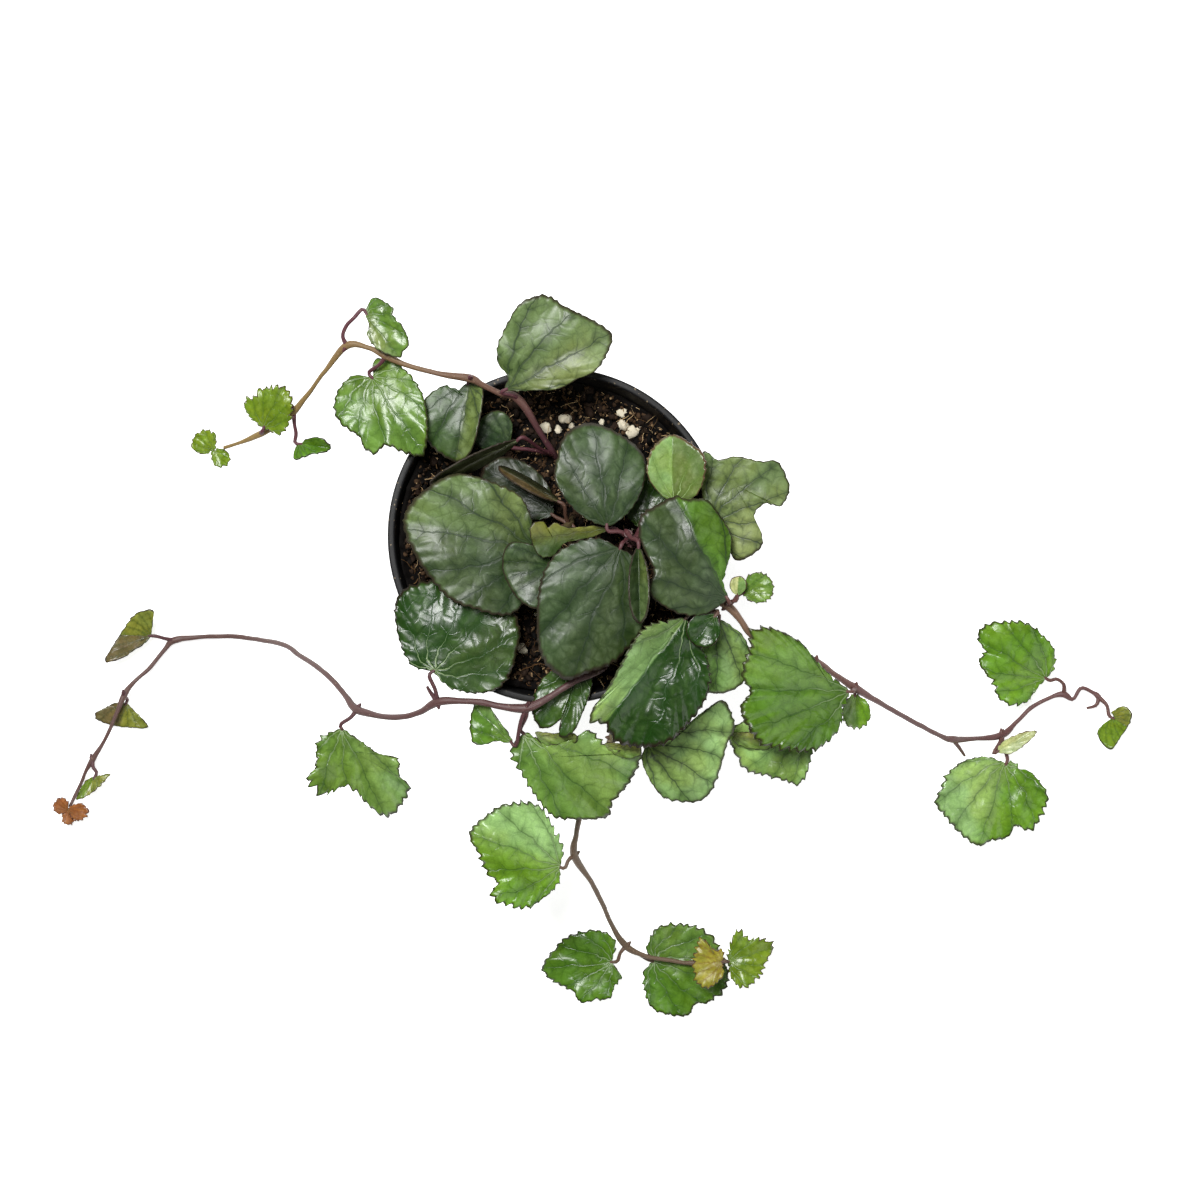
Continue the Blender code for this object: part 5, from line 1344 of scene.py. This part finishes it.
# %% Pot
POT_SIDES = 145
profile_mesh = bpy.data.meshes.new("pot_profile")
profile_mesh.from_pydata([(r * MM, 0.0, h * MM) for r, h in profile], [], [])
pot = grown("nursery_pot", lathe_tree, profile_mesh, {
    "Sides": POT_SIDES, "Rows": len(profile), "Holes": DRAIN_HOLES,
    "Hole Radius": DRAIN_HOLE_DIAMETER / 2 * MM, "Hole Circle": DRAIN_CIRCLE_DIAMETER / 2 * MM,
    "Hole Depth": 4 * FLOOR * MM, "Material": plastic_material(),
})
pot.data.set_sharp_from_angle(angle=math.radians(35))
keep(pot, "pot_plastic", "pot")
print("pot:", len(pot.data.polygons), "faces")

# %% [markdown]
# ## The peat
# The plant stands in dark peat that fills the pot: pressed in, a little lower at one side, lumpy, and
# banked up against the wall. A round sheet gets its height as a sum of long soft waves, clods and grit,
# and then runs down inside the wall to the floor, so the peat is a closed body. Sculpting it would
# lose the link to the height and slope that the solid part has.

# %% Peat tree
POT_TAPER = (pot_radius(POT_HEIGHT) - pot_radius(0.0)) / POT_HEIGHT
TOP_END = 1.001
SIDE_END = 1.08
SHEET_END = 1.12
BANK_START = 0.8
CLOD_SCALE = 240.0
GRIT_SCALE = 1100.0
GRIT_SHARE = 0.45
peat_tree, given = new_tree("peat", {
    "Sides": "Int", "Rows": "Int", "Edge": "Float", "Foot": "Float", "Floor": "Float", "Level": "Float",
    "Slope": "Float", "Lump": "Float", "Crumble": "Float", "Bank": "Float", "Material": "Material",
})
ground, grid_x, grid_y = grid_sheet(peat_tree, given["Sides"], given["Rows"])
angle = (0.5 - grid_x) * math.tau
reach = (grid_y + 0.5) * SHEET_END
on_top = calc("LESS_THAN", reach, TOP_END)
to_foot = calc("LESS_THAN", reach, SIDE_END)
bank = rise(reach, BANK_START, 1.0) * (0.9 - calc("COSINE", angle) * 0.35) * given["Bank"]
radius = (calc("MINIMUM", reach, 1.0) * given["Edge"] + bank * POT_TAPER) * on_top
radius = radius + given["Foot"] * to_foot * (1.0 - on_top)
flat_x = radius * calc("COSINE", angle)
flat_y = radius * calc("SINE", angle)
x_mm, y_mm = flat_x / MM, flat_y / MM
lumps = calc("SINE", x_mm * 0.31 + 1.0) * calc("COSINE", y_mm * 0.27)
lumps = lumps + calc("SINE", x_mm * 0.55 - y_mm * 0.47) * 0.6
level = given["Level"] - (x_mm + y_mm) / (RIM_DIAMETER / 2) * given["Slope"] + lumps * given["Lump"]
flat_spot = join_xyz(flat_x, flat_y, 0.0)
clods = noise(flat_spot, CLOD_SCALE, 3.0, 0.6) - 0.5
grit = noise(flat_spot, GRIT_SCALE, 2.0, 0.6) - 0.5
level = level + bank * (1.0 + clods) + clods * given["Crumble"] + grit * given["Crumble"] * GRIT_SHARE
height = level * on_top + given["Floor"] * (1.0 - on_top)
end_tree(moved(ground, join_xyz(flat_x, flat_y, height)), given["Material"])
print("peat tree:", len(peat_tree.nodes), "nodes")

# %% [markdown]
# ### Rough natural finishes
# Moist peat, its crumbs, wood chips, fibres and mineral granules are all dull and grainy, each between
# a dark and a light colour. Every strewn piece also carries a tone of its own, so that no two
# neighbours look alike. One recipe with two colours serves them all, where six would say the same.

# %% Loose finish
GRAIN_SHARE = 0.35
TONE_SHARE = 0.65
LOOSE_SPECULAR = 0.12


def loose_material(name, dark, light, rough, scale):
    """A rough natural finish between two colours, lighter in patches and piece by piece."""
    made, tree, shader, spot = new_material(name)
    grain = noise(spot, scale, 5.0, 0.65)
    lightness = rise(grain * GRAIN_SHARE + carried(tree, "tone") * TONE_SHARE, 0.25, 0.85)
    dress(shader, blend(colour(dark), colour(light), lightness), grain * 0.2 + rough, 0.8, 0.4, grain)
    shader.inputs["Specular IOR Level"].default_value = LOOSE_SPECULAR
    return made


print("grain makes", GRAIN_SHARE, "of the tone and the piece itself", TONE_SHARE)

# %% Peat
PEAT_SIDES = 241
PEAT_ROWS = 85
PEAT_CRUMBLE = 4.2
PEAT_BANK = 6.0
soil_edge = pot_radius(SOIL_HEIGHT) - WALL - GAP
peat = grown("peat", peat_tree, bpy.data.meshes.new("peat"), {
    "Sides": PEAT_SIDES, "Rows": PEAT_ROWS, "Edge": soil_edge * MM,
    "Foot": (pot_radius(FLOOR) - WALL - GAP) * MM, "Floor": (FLOOR + GAP) * MM,
    "Level": SOIL_HEIGHT * MM, "Slope": SOIL_SLOPE * MM, "Lump": SOIL_LUMP * MM,
    "Crumble": PEAT_CRUMBLE * MM, "Bank": PEAT_BANK * MM,
    "Material": loose_material("peat_dark", "080504", "281b12", 0.75, 700.0),
})
keep(peat, "peat", "soil")
print("peat:", len(peat.data.polygons), "faces")

# %% [markdown]
# ## Scattering
# Broken peat is covered with loose pieces, hundreds to a pot, which lie every way up. A tree strews
# copies of one small shape over the open peat with a fixed seed, turns and stretches each by a draw of
# its own, and roughens them. A particle system could strew them as well, but its draws would be harder
# to follow.

# %% Scatter tree
ROUGH_SCALE = 900.0
scatter_tree, given = new_tree("scatter", {
    "Shape": "Object", "Density": "Float", "Seed": "Int", "Smallest": "Vector", "Largest": "Vector",
    "Roughen": "Float", "Low": "Float", "Reach": "Float", "Material": "Material",
})
where = add(scatter_tree, "GeometryNodeInputPosition")
spot_x, spot_y, spot_z = split_xyz(where)
far = calc("SQRT", spot_x * spot_x + spot_y * spot_y)
open_ground = calc("GREATER_THAN", spot_z, given["Low"]) * calc("LESS_THAN", far, given["Reach"])
scattered = {
    "Mesh": given["Geometry"], "Selection": open_ground, "Density": given["Density"], "Seed": given["Seed"],
}
points = add(scatter_tree, "GeometryNodeDistributePointsOnFaces", scattered, distribute_method="RANDOM")
shape = add(scatter_tree, "GeometryNodeObjectInfo", {"Object": given["Shape"]}, "Geometry")


def random_value(low, high, salt, kind="FLOAT_VECTOR"):
    """A value drawn for each point, from the tree's seed and a number of its own."""
    made = scatter_tree.nodes.new("FunctionNodeRandomValue")
    made.data_type = kind
    first, output = {"FLOAT_VECTOR": (0, 0), "FLOAT": (2, 1)}[kind]
    for number, value in ((first, low), (first + 1, high), (8, given["Seed"] + float(salt))):
        fill(made.inputs[number], value)
    return Wire(scatter_tree, made.outputs[output])


placed = {
    "Points": store(points, "tone", random_value(0.0, 1.0, 3, "FLOAT")), "Instance": shape,
    "Rotation": random_value((0.0, 0.0, 0.0), (math.tau,) * 3, 1),
    "Scale": random_value(given["Smallest"], given["Largest"], 2),
}
pieces = add(scatter_tree, "GeometryNodeInstanceOnPoints", placed)
pieces = add(scatter_tree, "GeometryNodeRealizeInstances", [pieces])
rough = sway(where, ROUGH_SCALE, given["Roughen"])
pieces = add(scatter_tree, "GeometryNodeSetPosition", {"Geometry": pieces, "Offset": rough})
end_tree(pieces, given["Material"])
print("scatter tree:", len(scatter_tree.nodes), "nodes")

# %% [markdown]
# ## Loose things on the peat
# Peat breaks into round crumbs, larger clods, flat chips of wood and tan fibres. Crumbs, clods and
# chips start as one small faceted lump, stretched differently every time, and fibres are one bent rod.
# A separate model for each kind would cost more and show no more at this size.

# %% Small shapes
def lump_shape(name, divisions):
    """A small faceted ball, a metre across, to be scattered at its real size."""
    shape = bmesh.new()
    bmesh.ops.create_icosphere(shape, subdivisions=divisions, radius=0.5)
    mesh = bpy.data.meshes.new(name)
    shape.to_mesh(mesh)
    shape.free()
    return set_down(name, mesh)


crumb = lump_shape("crumb", 1)
fibre_places = [(0.0, 0.0, 0.0), (0.3, 0.05, 0.04), (0.62, -0.06, 0.06), (1.0, 0.1, 0.0)]
fibre_line = list(zip(fibre_places, [0.035, 0.04, 0.03, 0.02]))
fibre = grown("fibre", shoot_tree, poly_curve("fibre", [fibre_line], 1.0), {
    "Spacing": 0.2, "Sides": 4, "Crook": 0.0, "Material": peat.data.materials[0],
})
print("crumb:", len(crumb.data.polygons), "faces, fibre:", len(fibre.data.polygons), "faces")

# %% Strewn pieces
LOWEST_OPEN = 6.0
STREWN_MARGIN = 0.4
STREWN = {
    # Shape, pieces a square metre, seed, smallest and largest size, roughening and two colours.
    "peat_crumbs": (crumb, 480000, 3, (0.6, 0.6, 0.5), (2.4, 2.2, 1.9), 0.9, ("070504", "463424")),
    "peat_clods": (crumb, 60000, 6, (2.0, 2.0, 1.5), (5.0, 4.5, 3.0), 1.6, ("050403", "2c2018")),
    "peat_chips": (crumb, 90000, 8, (0.8, 0.5, 0.3), (3.8, 1.6, 0.9), 0.5, ("3a281a", "a88c68")),
    "peat_fibres": (fibre, 150000, 5, (2.0, 2.0, 2.0), (8.0, 5.0, 5.0), 0.2, ("5c4228", "c8ac80")),
}
strewn_low = (SOIL_HEIGHT - LOWEST_OPEN) * MM
for name, (shape, density, seed, smallest, largest, roughen, tints) in STREWN.items():
    pieces = grown(name, scatter_tree, peat.data.copy(), {
        "Shape": shape, "Density": float(density), "Seed": seed, "Smallest": Vector(smallest) * MM,
        "Largest": Vector(largest) * MM, "Roughen": roughen * MM, "Low": strewn_low,
        "Reach": (soil_edge - STREWN_MARGIN) * MM, "Material": loose_material(name, *tints, 0.7, 900.0),
    })
    keep(pieces, "peat")
    print(name, len(pieces.data.polygons), "faces")

# %% [markdown]
# ### White granules
# White mineral granules keep the peat airy. The big ones stand where the photograph shows them, and
# small ones are strewn between. Each is a ball, stretched and turned by chance and sunk into the peat,
# and soft noise breaks up its surface. The scatter tree could strew them too, but not at set places.

# %% Places of the granules
SMALL_GRANULES = 60
GRANULE_REACH = 44.0
GRANULE_SEED = 11
GRANULE_SIZES = (0.35, 1.0)
BIG_SHARE = 0.85
GRANULES = [
    (4.5, 42.6, 2.4), (11.6, 42.0, 1.8), (2.8, 35.6, 2.3), (-3.3, 32.6, 2.0), (0.6, 32.3, 1.5),
    (4.8, 33.0, 1.4), (20.2, 37.8, 2.9), (20.4, 33.8, 2.0), (23.0, 31.6, 2.7), (25.6, 33.2, 2.0),
    (-10.2, -34.0, 2.0), (-7.8, 18.4, 1.6),
]


def soil_level(x, y):
    """The height of the peat's surface as the peat tree has it, without its clods and its bank."""
    lumps = math.sin(0.31 * x + 1.0) * math.cos(0.27 * y) + 0.6 * math.sin(0.55 * x - 0.47 * y)
    return SOIL_HEIGHT - SOIL_SLOPE * (x + y) / RIM_DIAMETER * 2 + SOIL_LUMP * lumps


draw = random.Random(GRANULE_SEED)
grains = []
for x, y, radius in GRANULES:
    spot = seen((x, y, SOIL_HEIGHT))
    grains.append((spot.x, spot.y, radius * BIG_SHARE))
for i in range(SMALL_GRANULES):
    angle, reach = draw.uniform(0, math.tau), GRANULE_REACH * math.sqrt(draw.random())
    grains.append((reach * math.cos(angle), reach * math.sin(angle), draw.uniform(*GRANULE_SIZES)))
print(len(GRANULES), "big granules and", SMALL_GRANULES, "small ones")

# %% White granules
# This noise draws its own start from the clock unless it is given a seed.
seed_set(GRANULE_SEED)
OUT_OF_PEAT = 0.35
FINE_FROM = 1.2
shape = bmesh.new()
for x, y, radius in grains:
    turned = Euler([draw.uniform(0, math.tau) for axis in range(3)]).to_matrix().to_4x4()
    sizes = Matrix.Diagonal((*[radius * draw.uniform(0.8, 1.15) * MM for axis in range(3)], 1.0))
    place = Matrix.Translation(Vector((x, y, soil_level(x, y) + radius * OUT_OF_PEAT)) * MM)
    fineness = 3 if radius > FINE_FROM else 2
    bmesh.ops.create_icosphere(shape, subdivisions=fineness, radius=1.0, matrix=place @ turned @ sizes)
for corner in shape.verts:
    rough = noise_vector(corner.co * 650.0) * 0.55 + noise_vector(corner.co * 2100.0) * 0.2
    corner.co += rough * MM
mesh = bpy.data.meshes.new("granules")
shape.to_mesh(mesh)
shape.free()
granules = set_down("granules", mesh)
mesh.shade_smooth()
mesh.set_sharp_from_angle(angle=math.radians(40))
mesh.materials.append(loose_material("granule_white", "cfc6b0", "fffaf0", 0.6, 500.0))
keep(granules, "peat")
for used in (crumb, fibre):
    bpy.data.objects.remove(used)
print("granules:", len(grains), "grains,", len(mesh.polygons), "faces")

# %% [markdown]
# ## The floor
# The photograph shows the plant on plain white. The floor is a wide sheet of matt white paper that
# gives off a little light of its own, as an overexposed backdrop seems to. It reaches past the picture
# on all sides. A white world would do the same, but would catch no shadows.

# %% Floor
WHITE = (1.0, 1.0, 1.0, 1.0)
PAPER = (0.86, 0.86, 0.86, 1.0)
PAPER_ROUGHNESS = 0.9
PAPER_GLOW = 0.85
FLOOR_SIDE = 30.0
paper, tree, shader, spot = new_material("floor_paper")
fill(shader.inputs["Base Color"], blend(PAPER, WHITE, noise(spot, 30.0) * 0.1))
paper_values = {"Emission Color": PAPER, "Emission Strength": PAPER_GLOW, "Roughness": PAPER_ROUGHNESS}
for socket, value in paper_values.items():
    fill(shader.inputs[socket], value)
floor_mesh = bpy.data.meshes.new("floor")
half = FLOOR_SIDE / 2
corners = [(-half, -half, 0.0), (half, -half, 0.0), (half, half, 0.0), (-half, half, 0.0)]
floor_mesh.from_pydata(corners, [], [(0, 1, 2, 3)])
floor_mesh.materials.append(paper)
floor = set_down("floor", floor_mesh)
floor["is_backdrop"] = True
print("floor:", FLOOR_SIDE, "m wide")

# %% [markdown]
# ## Light
# The light in the photograph is soft and comes from a large window or softbox at the upper left, and a
# smaller, sharper one leaves the glare on the blades. A weak wide one opens the shadows. Three square
# lamps give each its own softness; a picture of a studio would tie them together.

# %% Lights
WORLD_STRENGTH = 0.14


def area_light(name, place, size, power, target=(0.0, 0.0, 0.05)):
    """A soft square light at a place, turned to the target."""
    lamp = bpy.data.lights.new(name, "AREA")
    lamp.size = size
    lamp.energy = power
    made = set_down(name, lamp)
    made.location = place
    made.rotation_euler = (Vector(target) - Vector(place)).to_track_quat("-Z", "Y").to_euler()


area_light("softbox", (-0.35, 0.45, 1.35), 0.4, 24.0)
area_light("glare", (-0.12, 0.2, 1.3), 0.12, 3.0)
area_light("fill", (0.9, -0.5, 1.0), 1.0, 6.0)
world = bpy.data.worlds.new("studio")
world.use_nodes = True
world.node_tree.nodes["Background"].inputs["Color"].default_value = WHITE
world.node_tree.nodes["Background"].inputs["Strength"].default_value = WORLD_STRENGTH
bpy.context.scene.world = world
bpy.context.scene.view_settings.view_transform = "Standard"
print(len(bpy.data.lights), "lamps and a world of strength", WORLD_STRENGTH)

# %% [markdown]
# ## Camera and sizes
# The camera stands straight over the middle of the picture, at the eye that the tables of places were
# read from, so each leaf covers its own place in the photograph. The sizes of the solid frame and of the
# finished part are noted side by side, so that anyone can see how closely the one follows the other.

# %% Camera
LENS = 85.0
SENSOR = 36.0
lens = bpy.data.cameras.new("camera")
lens.lens = LENS
lens.sensor_width = SENSOR
camera = set_down("camera", lens)
camera.location = EYE * MM
bpy.context.scene.camera = camera
print("camera:", LENS, "mm lens")

# %% Sizes and finish
low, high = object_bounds()
sizes = {"frame": [list(frame_low), list(frame_high)], "finished": [list(low), list(high)]}
print("frame box", [round(side, 4) for side in frame_high - frame_low])
print("finished box", [round(side, 4) for side in high - low])
